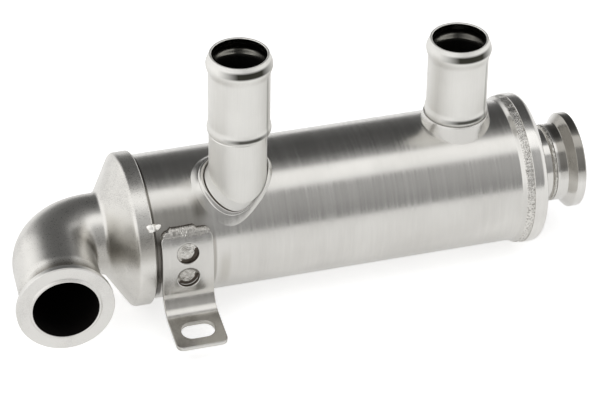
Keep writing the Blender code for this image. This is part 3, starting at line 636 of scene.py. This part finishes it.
def drawn_neck(which, middle, y, lines, crown, depth, lip_level):
    """Wall of one neck, from the shell's outside over the lip and down the bore to its inside.

    On the tube a point goes evenly from the window's edge to the flare's foot. On the flare the
    height falls by the way from the lip to the power 1.3, and the bore is a straight wall. The
    lip is half an ellipse between its outer line and the bore, with its crown and the depth of
    its inner side given as parts of its width there.
    """
    edge_x, edge_a, t = window_edge(which)
    foot, lip, bore = lines(t)
    width = lip - bore

    def plan(radius):
        """Length and side distance of the points at this radius."""
        return middle + radius * np.cos(t), y - radius * np.sin(t)

    def skin(radius, line, steps):
        """Rows on a round tube, from the window's edge in to a line."""
        x, side = plan(line)
        a = np.arcsin(-side / radius)
        share = np.linspace(0, 1, steps)[:, None]
        return on_tube(edge_x + (x - edge_x) * share, edge_a + (a - edge_a) * share, radius)

    rows = [skin(SHELL_R, foot, 12)]
    share = np.linspace(1, 0, 18)[1:, None]
    x, side = plan(lip + (foot - lip) * share)
    base = top_of(side, SHELL_R)
    rows.append(np.stack((x, side, base + (1 - share**1.3) * (lip_level(side) - base)), -1))
    swing = np.linspace(0, pi, 19)[1:, None]
    x, side = plan(lip - width * (1 - np.cos(swing)) / 2)
    fall = np.where(swing < pi / 2, crown, crown + depth)
    level = lip_level(side) + width * (crown - fall * (1 - np.sin(swing)))
    rows.append(np.stack((x, side, level), -1))
    x, side = plan(bore)
    drop = np.linspace(0, 1, 6)[1:-1, None]
    low = top_of(side, SHELL_R - SHELL_WALL)
    level = lip_level(side) - depth * width
    rows.append(np.stack(np.broadcast_arrays(x, side, level + (low - level) * drop), -1))
    rows.append(skin(SHELL_R - SHELL_WALL, bore, 8)[::-1])
    return patch(np.concatenate(rows), False, True)


def long_lip(side):
    """The long pipe's lip keeps one height above the tube."""
    return top_of(side, SHELL_R) + LONG_NECK_HEIGHT


def braze_ring():
    """Metal in the gap between the long pipe and its neck, a little below the lip all round.

    It falls away as a bell-shaped groove beside the neck.
    """
    overlap, groove_depth, groove_width = 0.0001, 0.0010, 0.0005
    t = circle(160)[None, :]
    outer = long_lines(t)[2] + overlap
    inner = pipe_edge(t, PIPE_R - LONG_STEP - 0.0002)
    share = np.linspace(0, 1, 13)[:, None]
    radius = np.concatenate((outer + (inner - outer) * share, inner + (outer - inner) * share))
    x, side = LONG_NECK_X + radius * np.cos(t), LONG_Y - radius * np.sin(t)
    groove = groove_depth * np.exp(-(((outer - radius[:13]) / groove_width) ** 2))
    upper = long_lip(side[:13]) - overlap - groove
    lower = top_of(side[13:], SHELL_R - SHELL_WALL)
    marks = np.full((26, 1), 2)
    # The two rows down in the groove beside the neck take painted shade
    marks[:2] = 1
    return patch(np.stack((x, side, np.concatenate((upper, lower))), -1), True, True, marks)


def short_lip(side):
    """The short pipe's lip is cut off level."""
    return np.full_like(side, SHORT_NECK_LIP)


wall_radii = np.linspace(SHELL_R, SHELL_R - SHELL_WALL, 3)[:, None]
shell_ends = [
    patch(on_tube(x, SHELL_ANGLES[None, :-1], wall_radii), False, True) for x in (0.0, SHELL_L)
]
make_piece(
    "shell_surface",
    [
        windowed_tube(SHELL_R),
        windowed_tube(SHELL_R - SHELL_WALL),
        drawn_neck("long", LONG_NECK_X, LONG_Y, long_lines, 0.35, 0.30, long_lip),
        drawn_neck("short", SHORT_X, 0.0, short_lines, 0.5, 0.0, short_lip),
        braze_ring(),
        *shell_ends,
    ],
    [SHELL_STEEL, GROOVE_SHADE, LONG_PIPE_STEEL],
    ["shell"],
)


# Coolant pipes
def raised(z, middle, width, height):
    """A rolled bead: half a cosine wave of this width and height."""
    away = np.clip(np.abs(z - middle) / (width / 2), 0, 1)
    return height * (0.5 + 0.5 * np.cos(pi * away))


def pipe_surface(centre, y, top, bead_z, step, shift):
    """Radius by height: the plain pipe and both beads, less the tuck at the rim and the step.

    The step is a smooth fall over a short height under the second bead, with a bell-shaped crease
    at its foot.
    """
    stops = (PIPE_LOW, bead_z - 0.004, bead_z + 0.004, top - 0.010, top - 0.0004)
    z = spans(stops, (4, 64, 6, 48))
    z = z[z > bead_z - 0.0034] if bead_z < 0.04 else z

    def shape(z):
        """Radius and sideways shift of the pipe at this height."""
        below = np.clip((bead_z - 0.0010 - z) / 0.0010, 0, 1)
        below = below * below * (3 - 2 * below)
        rim = np.clip((z - (top - PIPE_TUCK_HEIGHT)) / PIPE_TUCK_HEIGHT, 0, 1) ** 1.6
        crease = 0.6 * step * np.exp(-(((z - bead_z + 0.0021) / 0.0004) ** 2))
        radius = PIPE_R - step * below - crease - PIPE_TUCK * rim
        radius = radius + raised(z, top - END_BEAD_SETBACK, END_BEAD_WIDTH, END_BEAD_HEIGHT)
        radius = radius + raised(z, bead_z, STOP_BEAD_WIDTH, STOP_BEAD_HEIGHT)
        return radius, -shift * below

    a = circle(128)
    radius, slide = shape(z)
    outer = np.stack((z, radius, slide), -1)
    inner = np.stack((z, radius - PIPE_WALL, slide), -1)[::-1]
    rim_turn = np.linspace(0, pi, 9)[1:-1]
    rim = np.stack(
        (
            z[-1] + PIPE_WALL / 2 * 0.8 * np.sin(rim_turn),
            radius[-1] - PIPE_WALL / 2 * (1 - np.cos(rim_turn)),
            np.full(7, slide[-1]),
        ),
        -1,
    )
    line = np.concatenate((outer[:1], outer, rim, inner, inner[-1:]))
    high, radius, slide = line[:, 0, None], line[:, 1, None], line[:, 2, None]
    x = centre + slide + radius * np.cos(a)
    side = y + radius * np.sin(a)
    high = np.broadcast_to(high, x.shape).copy()
    foot = top_of(side, SHELL_R - SHELL_WALL)
    high[0], high[-1] = foot[0], foot[-1]
    inside = np.arange(len(line)) > len(outer) + 6
    # Inside the pipe, below the mouth, the bore takes painted shade
    marks = np.where(inside, np.where(line[:, 0] < top - MOUTH_DEPTH, 1, 2), 0)
    return patch(np.stack((x, side, high), -1), True, True, marks)


for which, steel, place in (
    ("long", LONG_PIPE_STEEL, (*LONG_PIPE, LONG_STEP, LONG_SHIFT)),
    ("short", SHORT_PIPE_STEEL, (*SHORT_PIPE, 0.0, 0.0)),
):
    make_piece(
        which + "_pipe_surface",
        [pipe_surface(*place)],
        [steel, PIPE_BORE_SHADE, MOUTH_STEEL],
        ["coolant_pipe_" + which],
    )

# Cast inlet: skirt, cone and elbow
BEND_L = BEND_R * BEND_ANGLE
CAST_END = BEND_L + ELBOW_RUN - FLANGE_L
RUN = np.array((-cos(BEND_ANGLE), -sin(BEND_ANGLE), 0.0))
ACROSS = np.array((-sin(BEND_ANGLE), cos(BEND_ANGLE), 0.0))
BEND_END = np.array((BEND_X, -BEND_R, 0.0)) + ACROSS * BEND_R
INLET_FACE = BEND_END + RUN * ELBOW_RUN


def swept(outline, count=144):
    """Outline of (length past the bend's start, radius), along the body's axis and the bend.

    Before the bend the section's centre runs along X; in the bend it turns about a point on -Y;
    after it the centre runs straight on.
    """
    along, radius = outline[:, 0], outline[:, 1]
    turn = np.clip(along / BEND_R, 0, BEND_ANGLE)
    side = np.stack((-np.sin(turn), np.cos(turn), np.zeros_like(turn)), -1)
    centre = np.array((BEND_X, -BEND_R, 0.0)) + side * BEND_R
    centre[:, 0] -= np.minimum(along, 0)
    centre += RUN * np.maximum(along - BEND_L, 0)[:, None]
    a = circle(count)
    up = np.array((0.0, 0.0, 1.0))
    ring = side[:, None, :] * np.cos(a)[None, :, None] + up * np.sin(a)[None, :, None]
    return centre[:, None, :] + ring * radius[:, None, None]


cast_corners = [
    (BEND_X - SKIRT_REACH, SKIRT_BORE, 0.0),
    (BEND_X - SKIRT_REACH, SKIRT_R, 0.0007),
    (BEND_X + SHOULDER, SKIRT_R, 0.0022),
    (BEND_X + CONE_END, ELBOW_R, 0.0026),
    (CAST_END - ELBOW_NECK_L, ELBOW_R, 0.0060),
    (CAST_END, FLANGE_NECK, 0.0),
    (CAST_END, FLANGE_BORE, 0.0),
    (CAST_END - ELBOW_NECK_L, ELBOW_BORE, 0.0),
    (BEND_X + CONE_END, ELBOW_BORE, 0.0),
    (BEND_X + SEAT_GAP, SEAT_BORE, 0.0),
    (BEND_X + SEAT_GAP, SKIRT_BORE, 0.0),
]
cast_line = spread(rounded(cast_corners), 0.0008)
bore_start = np.argmax(np.abs(cast_line[:, 1] - FLANGE_BORE) < 1e-7)
make_piece(
    "casting_surface",
    [patch(swept(cast_line), True, True, np.arange(len(cast_line)) >= bore_start)],
    [CAST_STEEL, NEAR_BLACK_BORE],
    ["inlet_casting"],
)

# Inlet flange: a flat face with a low lip at the bore, a thin rim and a cone behind it
flange_corners = [
    (-0.0008, FLANGE_BORE - 0.0003, 0.0003),
    (-0.0008, FLANGE_BORE + 0.0004, 0.0003),
    (0.0000, FLANGE_BORE + 0.0011, 0.0006),
    (0.0000, FLANGE_R, 0.0005),
    (0.0024, FLANGE_R, 0.0005),
    (FLANGE_L, FLANGE_NECK, 0.0),
    (FLANGE_L, FLANGE_BORE, 0.0),
    (0.0004, FLANGE_BORE - 0.0003, 0.0),
]
flange_line = spread(rounded(flange_corners), 0.0010)
in_bore = (flange_line[:, 1] < FLANGE_BORE + 1e-6) & (flange_line[:, 0] > 0.0002)
flange_points = turned(flange_line, 160, INLET_FACE, -RUN, (0, 0, 1))
make_piece(
    "inlet_flange_surface",
    [patch(flange_points, True, True, np.where(in_bore, 1, 0))],
    [FACE_STEEL, NEAR_BLACK_BORE],
    ["inlet_flange"],
)


# Outlet end
def outlet_piece(name, solid, longest, count, corners):
    """One spun piece round the body's axis, from the corners of its outline."""
    points = turned(spread(rounded(corners), longest), count)
    make_piece(name, [patch(points, True, True)], [CAP_STEEL], [solid])


outlet_piece(
    "cap_surface", "outlet_cap", 0.0015, 192,
    [
        (CAP_START, CAP_R, 0.0003),
        (CAP_FACE, CAP_R, 0.0028),
        (CAP_FACE, OUT_NECK_R + FIT, 0.0003),
        (CAP_FACE - CAP_WALL, OUT_NECK_R + FIT, 0.0),
        (CAP_FACE - CAP_WALL, CAP_R - CAP_SKIRT, 0.0),
        (CAP_START, CAP_R - CAP_SKIRT, 0.0002),
    ],
)
outlet_piece(
    "outlet_neck_surface", "outlet_neck", 0.0012, 160,
    [
        (OUT_NECK_START, OUT_BORE, 0.0),
        (OUT_NECK_START, OUT_NECK_R, 0.0002),
        (OUT_NECK_END, OUT_NECK_R, 0.0002),
        (OUT_NECK_END, OUT_BORE, 0.0),
    ],
)
outlet_piece(
    "outlet_flange_surface", "outlet_flange", 0.0010, 192,
    [
        (OUT_FLANGE_X, OUT_NECK_R + FIT, 0.0),
        (OUT_FLANGE_X, OUT_COLLAR_R, 0.0004),
        (OUT_CONE_START, OUT_COLLAR_R, 0.0010),
        (OUT_CONE_END, OUT_RIM_R, 0.0005),
        (OUT_END, OUT_RIM_R, 0.0008),
        (OUT_END, OUT_BORE, 0.0003),
        (OUT_SOCKET_END, OUT_BORE, 0.0),
        (OUT_SOCKET_END, OUT_NECK_R + FIT, 0.0),
    ],
)


# Bracket, cut flat and then bent
STRIP_FRONT = SHELL_R + FIT + STRIP_T
STRIP_TURN = pi / 2 - STRIP_SLOPE
WRAP_END = STRIP_FRONT * STRIP_WRAP
LEG_END = WRAP_END + STRIP_LEG
BEND_STOP = LEG_END + STRIP_BEND * STRIP_TURN
STRIP_END = BEND_STOP + STRIP_FOOT
EDGE = 0.00035
PLUG_R = 0.0046
PLUG_DROP = 0.0054
PLUG_SPACING = 0.0115
PLUG_LOW = WRAP_END + PLUG_DROP
PLUG_HIGH = PLUG_LOW - PLUG_SPACING
SLOT_SETBACK = 0.0071
SLOT_AT = BEND_STOP + SLOT_SETBACK
SLOT_HALF = 0.00695
SLOT_R = 0.0043


def on_strip(s, u, depth):
    """Point of the bent strip: s down its front from the top edge, u across, depth behind.

    The front follows the shell on an arc, goes straight down, turns on an arc about a point before
    it, and runs straight out along the foot. Depth is taken against the front's own normal.
    """
    wrap = STRIP_WRAP - np.minimum(s, WRAP_END) / STRIP_FRONT
    leg = np.clip(s - WRAP_END, 0, STRIP_LEG)
    turn = np.clip((s - LEG_END) / STRIP_BEND, 0, STRIP_TURN)
    foot = np.maximum(s - BEND_STOP, 0)
    y = -STRIP_FRONT * np.cos(wrap) + STRIP_BEND * (np.cos(turn) - 1) - np.sin(turn) * foot
    z = STRIP_FRONT * np.sin(wrap) - leg - STRIP_BEND * np.sin(turn) - np.cos(turn) * foot
    facing = wrap + turn
    y = y + np.cos(facing) * depth
    z = z - np.sin(facing) * depth
    return np.stack(np.broadcast_arrays(STRIP_X + u, y, z), -1)


def slot_loop(t, radius, straight):
    """Distance from a slot's middle to its edge in direction t, where t = 0 lies along the slot.

    On the straight sides it is radius / |sin t|, and on the round ends the ray meets a circle of
    that radius about a point half the straight length away.
    """
    along = np.abs(np.cos(t))
    side = np.abs(np.sin(t))
    flat = radius / np.maximum(side, 1e-9)
    round_end = straight * along + np.sqrt(np.maximum(radius**2 - (straight * side) ** 2, 0))
    return np.where(flat * along <= straight, flat, round_end)


# Each hole as its place, its window's half length and half width, its radius and straight half
HALF = STRIP_W / 2 - EDGE
CORNER = STRIP_CORNER - EDGE
PLUG_WINDOW = (0.0054, 0.0056)
SLOT_WINDOW = (0.0056, 0.0086)
HOLES = [
    (PLUG_HIGH, *PLUG_WINDOW, PLUG_R, 0.0),
    (PLUG_LOW, *PLUG_WINDOW, PLUG_R, 0.0),
    (SLOT_AT, *SLOT_WINDOW, SLOT_R, SLOT_HALF - SLOT_R),
]
strip_first = EDGE + CORNER
strip_last = STRIP_END - EDGE - CORNER
strip_stops = [strip_first]
for middle, half_s, _, _, _ in HOLES:
    strip_stops += [middle - half_s, middle + half_s]
corner_run = CORNER * np.sin(np.linspace(0, pi / 2, 12)[1:])
STRIP_ROWS = np.concatenate(
    (
        (strip_first - corner_run)[::-1],
        spans(strip_stops + [strip_last], (3, 20, 2, 20, 20, 20, 3)),
        strip_last + corner_run,
    )
)
column_stops = [PLUG_WINDOW[1], SLOT_WINDOW[1], HALF]
column_stops = [-stop for stop in column_stops[::-1]] + column_stops
STRIP_COLUMNS = spans(column_stops, (5, 6, 22, 6, 5))


def strip_plan(s, u):
    """Narrows the grid over its first and last stretch, so that the strip's corners are arcs."""
    past = np.clip(np.maximum(s - strip_last, strip_first - s), 0, CORNER)
    half = HALF - CORNER + np.sqrt(CORNER**2 - past**2)
    return u * half / HALF


def strip_face(depth):
    """The strip's front or back as one grid, with a rectangular window round each hole."""
    s, u = np.meshgrid(STRIP_ROWS, STRIP_COLUMNS, indexing="ij")
    windows = [(centre, half_s, 0.0, half_u) for centre, half_s, half_u, _, _ in HOLES]
    keep = outside(STRIP_ROWS, STRIP_COLUMNS, windows)
    return patch(on_strip(s, strip_plan(s, u), depth), keep=keep)


def edge_rows(reach_s, reach_u):
    """Rows over an edge from front to back: a quarter circle, the straight wall, a quarter circle.

    reach(k) gives the plan's point when the edge has gone k of the way out to the wall.
    """
    turn = np.linspace(0, pi / 2, 6)
    out = np.concatenate((np.sin(turn), [1.0, 1.0], np.sin(turn)[::-1]))
    deep = EDGE * (1 - np.cos(turn))
    middle = STRIP_T * np.array((0.4, 0.6))
    depth = np.concatenate((deep, middle, STRIP_T - deep[::-1]))
    return on_strip(reach_s(out[:, None]), reach_u(out[:, None]), depth[:, None])


def hole_wall(centre, half_s, half_u, radius, straight):
    """One hole: from its window to the edge, through the strip and back to the window."""
    a = STRIP_ROWS[np.abs(STRIP_ROWS - centre) < half_s + 1e-6]
    b = STRIP_COLUMNS[np.abs(STRIP_COLUMNS) < half_u + 1e-6]
    s, u = loop_round(a, b)
    t = np.arctan2(s - centre, u)

    def at(out):
        """Distance to the edge when it has gone so far in to the wall."""
        return slot_loop(t, radius + EDGE * (1 - out), straight)

    share = np.linspace(0, 1, 9)[:-1, None]
    edge_s, edge_u = centre + at(0) * np.sin(t), at(0) * np.cos(t)
    spread_s, spread_u = s + (edge_s - s) * share, u + (edge_u - u) * share
    wall = edge_rows(lambda k: centre + at(k) * np.sin(t), lambda k: at(k) * np.cos(t))
    front = on_strip(spread_s, spread_u, 0.0)
    back = on_strip(spread_s[::-1], spread_u[::-1], STRIP_T)
    return patch(np.concatenate((front, wall, back)), False, True)


def strip_rim():
    """The strip's outer edge, carried outwards along the plan's normal."""
    s, u = loop_round(STRIP_ROWS, STRIP_COLUMNS)
    u = strip_plan(s, u)
    ds, du = np.roll(s, -1) - np.roll(s, 1), np.roll(u, -1) - np.roll(u, 1)
    size = np.hypot(ds, du)
    out_s, out_u = du / size, -ds / size
    facing = np.sign(((s - s.mean()) * out_s + u * out_u).sum()) * EDGE
    wall = edge_rows(lambda k: s + out_s * facing * k, lambda k: u + out_u * facing * k)
    return patch(wall, False, True)


make_piece(
    "bracket_surface",
    [strip_face(0.0), strip_face(STRIP_T), strip_rim(), *[hole_wall(*hole) for hole in HOLES]],
    [STRIP_STEEL],
    ["mounting_bracket"],
    sharp=50.0,
)


# Welds
def weld_piece(name, patches, materials):
    """A weld's surface, which stands for the solid of that name."""
    make_piece(name + "_surface", patches, materials, [name])


def ring_weld(name, start, width, radius, height, grain_from, seed, count, materials):
    """A bead round the body: a low, smooth band that turns grainy beside the piece it runs up to.

    With v from 0 to 1 across the bead, it rises over its first half as half a cosine wave and then
    stays level. Past grain_from, ripples and pits are added.
    """
    a = circle(count)[:, None]
    v = np.linspace(0, 1, 41)[None, :]
    wander = ripple(a, waves(seed, 9, 2, 9))
    sway = ripple(a, waves(seed + 3, 8, 20, 60))
    grain = ripple(a, waves(seed + 2, 16, 90, 260)) * np.cos(v * 34 + sway)
    pits = ripple(a + 0.03 * v, waves(seed + 5, 14, 60, 220)) * np.cos(v * 19 + 4 * wander)
    pits = np.clip(pits - 0.5, 0, 1)
    grainy = np.clip((v - grain_from) / 0.12, 0, 1)
    rise = 0.5 - 0.5 * np.cos(pi * np.clip(v / 0.55, 0, 1))
    lift = rise * (0.86 + 0.04 * wander + grainy * (0.07 * grain - 0.22 * pits))
    x = np.broadcast_to(start + width * v, lift.shape)
    top = radius - (FIT + 0.0001) * (1 - rise) + height * np.clip(lift, 0, 1)
    under = x[:, ::-1][:, 1:-1:8]
    loop_x = np.concatenate((x, under), 1)
    loop_r = np.concatenate((top, np.full_like(under, radius - 0.0007)), 1)
    points = np.stack((loop_x, -loop_r * np.cos(a), loop_r * np.sin(a)), -1)
    middle = np.linspace(0, 1, 41)[:-1] > grain_from
    marks = np.zeros((1, loop_x.shape[1]), int)
    marks[0, : len(middle)] = middle
    weld_piece(name, [patch(points, True, True, marks)], materials)


ring_weld(
    "shell_end_weld",
    start=0.1632,
    width=0.0054,
    radius=SHELL_R + FIT,
    height=0.0013,
    grain_from=0.36,
    seed=11,
    count=1400,
    materials=[SHELL_STEEL, WELD_STEEL],
)
ring_weld(
    "outlet_neck_weld",
    start=0.1826,
    width=0.0017,
    radius=OUT_NECK_R + FIT,
    height=0.0009,
    grain_from=0.30,
    seed=23,
    count=700,
    materials=[CAP_STEEL, BEAD_STEEL],
)


def plug_weld(name, centre, rim_depth, swell, moat_depth, moat_turn, seed):
    """A plug of weld metal in a hole of the strip: a lumpy mound with a deep groove at one side.

    Its depth below the strip's front is rim_depth - swell * (1 - r^2) + moat_depth * bell, where
    the bell stands near the rim and is widest in the direction moat_turn. Away from it the metal
    runs up to the hole's edge.
    """
    outer, below = PLUG_R - 0.00008, STRIP_T + 0.0001
    t = circle(120)[None, :]
    reach = spans([0.0, 0.55, 1.0], (14, 26))[:, None]
    lumps = ripple(t, waves(seed, 12, 1, 9)) * np.sin(reach * 7 + 1.3) * reach
    facing = np.clip(0.35 + 0.65 * np.cos(t - moat_turn), 0, 1)
    wall = 0.84 - 0.16 * facing
    bell = np.exp(-(np.clip((wall - reach) / 0.12, 0, 9) ** 2)) * facing
    mound = 1 - np.clip(reach / 0.8, 0, 1) ** 2
    depth = rim_depth - swell * mound + moat_depth * bell
    depth = depth + 0.00012 * lumps + 0.00004 * np.sin(reach * 40)
    depth = depth - (rim_depth - 0.0002) * (1 - facing) * reach**4
    depth = np.clip(depth, 0.0001, STRIP_T)
    radius = reach * outer
    top = on_strip(centre + radius * np.sin(t), radius * np.cos(t), depth)
    wall_depth = np.linspace(0.4, 1.0, 3)[:, None] * below
    wall_depth = np.maximum(wall_depth, depth[-1:] + 0.0001)
    side = on_strip(centre + outer * np.sin(t), outer * np.cos(t), wall_depth)
    base_reach = np.linspace(0.96, 0, 8)[:, None] * PLUG_R
    base = on_strip(centre + base_reach * np.sin(t), base_reach * np.cos(t), below)
    # Painted shade in the deep groove, and on the hole's wall and base
    shaded_moat = (bell > 0.45) & (reach > 0.6)
    marks = np.zeros((len(reach) + 10, 120), int)
    marks[: len(reach) - 1] = shaded_moat[:-1]
    marks[len(reach) - 1 :] = 1
    points = np.concatenate((top, side, base))
    weld_piece(name, [patch(points, False, True, marks)], [BEAD_STEEL, GROOVE_SHADE])


plug_weld("plug_weld_lower", PLUG_LOW, 0.0009, 0.0004, 0.0014, radians(70), 31)
plug_weld("plug_weld_upper", PLUG_HIGH, 0.0005, 0.0004, 0.0011, radians(50), 37)


def edge_weld(half_length):
    """The weld pool over the bracket's top edge: uneven metal from the strip onto the shell.

    For each place t along it, u goes from the strip's face (0) over its edge (at 0.3) to the toe
    on the shell (1). Over the strip the pool is a thin swelling; past the edge its height over the
    shell falls as sqrt(1 - w^2.2), with w the way from the edge to the toe. Low waves make both
    lines uneven, and tanh curves step the toe up over the middle.
    """
    t = np.linspace(-1, 1, 301)[:, None]
    u = np.linspace(0, 1, 45)[None, :]
    ends = np.clip((1 - np.abs(t)) / 0.16, 0, 1) ** 0.5
    line = ripple(t * pi, waves(41, 4, 1, 3))
    fine = ripple(t * pi, waves(43, 10, 9, 34))
    middle = 0.5 * (np.tanh((t + 0.70) / 0.05) - np.tanh((t - 0.42) / 0.05))
    wide = (0.0017 + 0.0012 * middle + 0.0002 * line + 0.0001 * fine) * ends + 0.0003
    back = 0.0015 * (0.80 + 0.20 * ripple(t * pi, waves(59, 6, 1, 6))) * ends + 0.0002
    w = np.clip((u - 0.3) / 0.7, 0, 1)
    over = np.clip(1 - u / 0.3, 0, 1)
    lumps = ripple(t * pi, waves(47, 12, 4, 40)) * np.sin(u * 11 + line)
    lumps = lumps + 0.6 * fine * np.cos(u * 17)
    swell = 0.00012 * (0.5 + 0.5 * np.cos(pi * over)) * (1 + 0.45 * lumps) * ends
    full = STRIP_T + FIT
    high = full * np.sqrt(np.clip(1 - w**2.2, 0, 1)) * (0.94 + 0.06 * ends)
    high = high + swell * (1 - w) + 0.00004 * lumps
    high = np.where(w > 0, np.clip(high, 0, full + 0.0004), full + swell)
    angle = STRIP_WRAP + (wide * w - back * over) / SHELL_R
    x = STRIP_X + half_length * t
    top = SHELL_R + high
    low = np.where(w > 0, SHELL_R - 0.0002, SHELL_R + full - 0.0004) + 0 * top
    loop_r = np.concatenate((top, low[:, ::-1][:, 1:-1]), 1)
    loop_a = np.concatenate((angle, angle[:, ::-1][:, 1:-1]), 1)
    points = np.stack((x + 0 * loop_r, -loop_r * np.cos(loop_a), loop_r * np.sin(loop_a)), -1)
    caps = [points[:1].repeat(2, 0), points[-1:].repeat(2, 0)]
    for cap, row in zip(caps, (0, 1)):
        cap[row] = cap[row].mean(0)
    # Painted glints: the tops of a few lumps near the middle take near-white metal
    bright = np.zeros((300, points.shape[1]), bool)
    bright[:, :40] = lumps[:-1, :40] > np.where(np.abs(t[:-1] + 0.16) < 0.22, 0.75, 1.7)
    # The toe's rows, in the groove on the shell, take painted shade
    toe = np.zeros((1, points.shape[1]), int)
    toe[0, 40:46] = 1
    marks = np.where(bright, 2, toe)
    closed = [patch(cap, False, True) for cap in caps]
    weld_piece(
        "bracket_edge_weld",
        [patch(points, False, True, marks), *closed],
        [POOL_STEEL, GROOVE_SHADE, GLINT_AND_BRIGHT_WELD],
    )


edge_weld(0.0098)


def tack_weld(angle):
    """A bright blob over the skirt's edge: two rounded lumps joined by a waist, held flat."""
    t = circle(64)[None, :]
    p = np.linspace(0, pi, 33)[:, None]
    swell = np.sin(p) ** 2
    lump = 1 + 0.10 * np.sin(3 * t + 1) * swell + 0.06 * np.sin(5 * t + 4 * p) * swell
    along = 0.0058 + 0.0030 * lump * np.sin(p) * np.cos(t)
    across = 0.0015 * lump * (1 + 0.35 * np.cos(t) ** 2) * np.sin(p) * np.sin(t)
    round_by = angle + across / SHELL_R
    rise = 0.0016 * (0.5 - 0.5 * np.tanh((along - 0.0062) / 0.0006))
    out = SHELL_R + 0.0006 + rise + 0.0009 * lump * np.cos(p)
    points = np.stack((along + 0 * out, -out * np.cos(round_by), out * np.sin(round_by)), -1)
    weld_piece("skirt_tack_weld", [patch(points, False, True)], [GLINT_AND_BRIGHT_WELD])


tack_weld(radians(34.0))

# Inner pieces, which keep the solids' own surfaces
for name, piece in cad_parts.items():
    if name.startswith(("gas_tube", "baffle", "tube_sheet")):
        for place in piece.material_slots:
            place.material = INNER_STEEL

# Stage: a wide pale floor, which shows white to the camera and keeps its shadow
FLOOR_Z = -0.0080
FLOOR_REACH = 6.0
PAPER_COLOUR = 0.80
PAPER_GLOW = 0.58
GLOW_IN_METAL = 0.68
floor_mesh = bpy.data.meshes.new("studio_floor")
floor_mesh.from_pydata(
    [
        (x * FLOOR_REACH, y * FLOOR_REACH, FLOOR_Z)
        for x, y in ((-1, -1), (1, -1), (1, 1), (-1, 1))
    ],
    [],
    [(0, 1, 2, 3)],
)
floor = bpy.data.objects.new("studio_floor", floor_mesh)
bpy.context.scene.collection.objects.link(floor)
paper = bpy.data.materials.new("studio_paper")
paper.use_nodes = True
paper_tree = paper.node_tree
paper_tree.nodes.remove(paper_tree.nodes["Principled BSDF"])
ray = node(paper_tree, "ShaderNodeLightPath")
seen = math_node(paper_tree, "MULTIPLY", ray.outputs["Is Glossy Ray"], GLOW_IN_METAL)
seen = math_node(paper_tree, "MAXIMUM", ray.outputs["Is Camera Ray"], seen)
seen = math_node(paper_tree, "MAXIMUM", seen, ray.outputs["Is Transmission Ray"])
matte = node(paper_tree, "ShaderNodeBsdfDiffuse", {"Color": (*(PAPER_COLOUR,) * 3, 1)})
glow = node(
    paper_tree, "ShaderNodeEmission", {"Color": (*(PAPER_GLOW,) * 3, 1), "Strength": seen}
)
both = node(paper_tree, "ShaderNodeAddShader", {0: matte.outputs[0], 1: glow.outputs[0]})
paper_tree.links.new(both.outputs[0], paper_tree.nodes["Material Output"].inputs["Surface"])
floor_mesh.materials.append(paper)

# Studio light all round, by the angle from the front horizon over the top to the back
SKY = [
    (-180, 0.62), (-1, 0.62), (0, 0.40), (12, 0.38), (30, 0.48), (45, 0.52), (57, 0.46),
    (62, 1.30), (88, 1.45), (93, 0.40), (110, 0.11), (140, 0.09), (168, 0.16), (178, 0.45),
    (180, 0.62),
]
# Brighter sides, by the X of the direction: (where it starts, where it is full, how full)
SIDE_LEVEL = 1.28
LEFT_SIDE = (-0.22, -0.46, 1.0)
RIGHT_SIDE = (0.50, 0.75, 0.8)
world = bpy.data.worlds.new("studio")
bpy.context.scene.world = world
world.use_nodes = True
sky = world.node_tree
way = node(sky, "ShaderNodeTexCoord")
parts = node(sky, "ShaderNodeSeparateXYZ", {0: way.outputs["Generated"]})
front = math_node(sky, "MULTIPLY", parts.outputs["Y"], -1.0)
over = math_node(sky, "ARCTAN2", parts.outputs["Z"], front)
ramp = node(sky, "ShaderNodeValToRGB", {"Fac": ranged(sky, over, -pi, pi, 0.0, 1.0)})
stops = ramp.color_ramp.elements
stops.remove(stops[1])
for index, (angle, level) in enumerate(SKY):
    place = (angle + 180) / 360
    stop = stops.new(place) if index else stops[0]
    stop.position = place
    stop.color = (level, level, level, 1)
left, right = [
    ranged(sky, parts.outputs["X"], start, full, 0.0, most)
    for start, full, most in (LEFT_SIDE, RIGHT_SIDE)
]
sides = math_node(sky, "ADD", left, right)
lit = blend(sky, sides, ramp.outputs[0], (SIDE_LEVEL, SIDE_LEVEL, SIDE_LEVEL, 1))
ray = node(sky, "ShaderNodeLightPath")
shown = blend(sky, ray.outputs["Is Camera Ray"], lit, (1, 1, 1, 1))
sky.links.new(shown, sky.nodes["Background"].inputs["Color"])
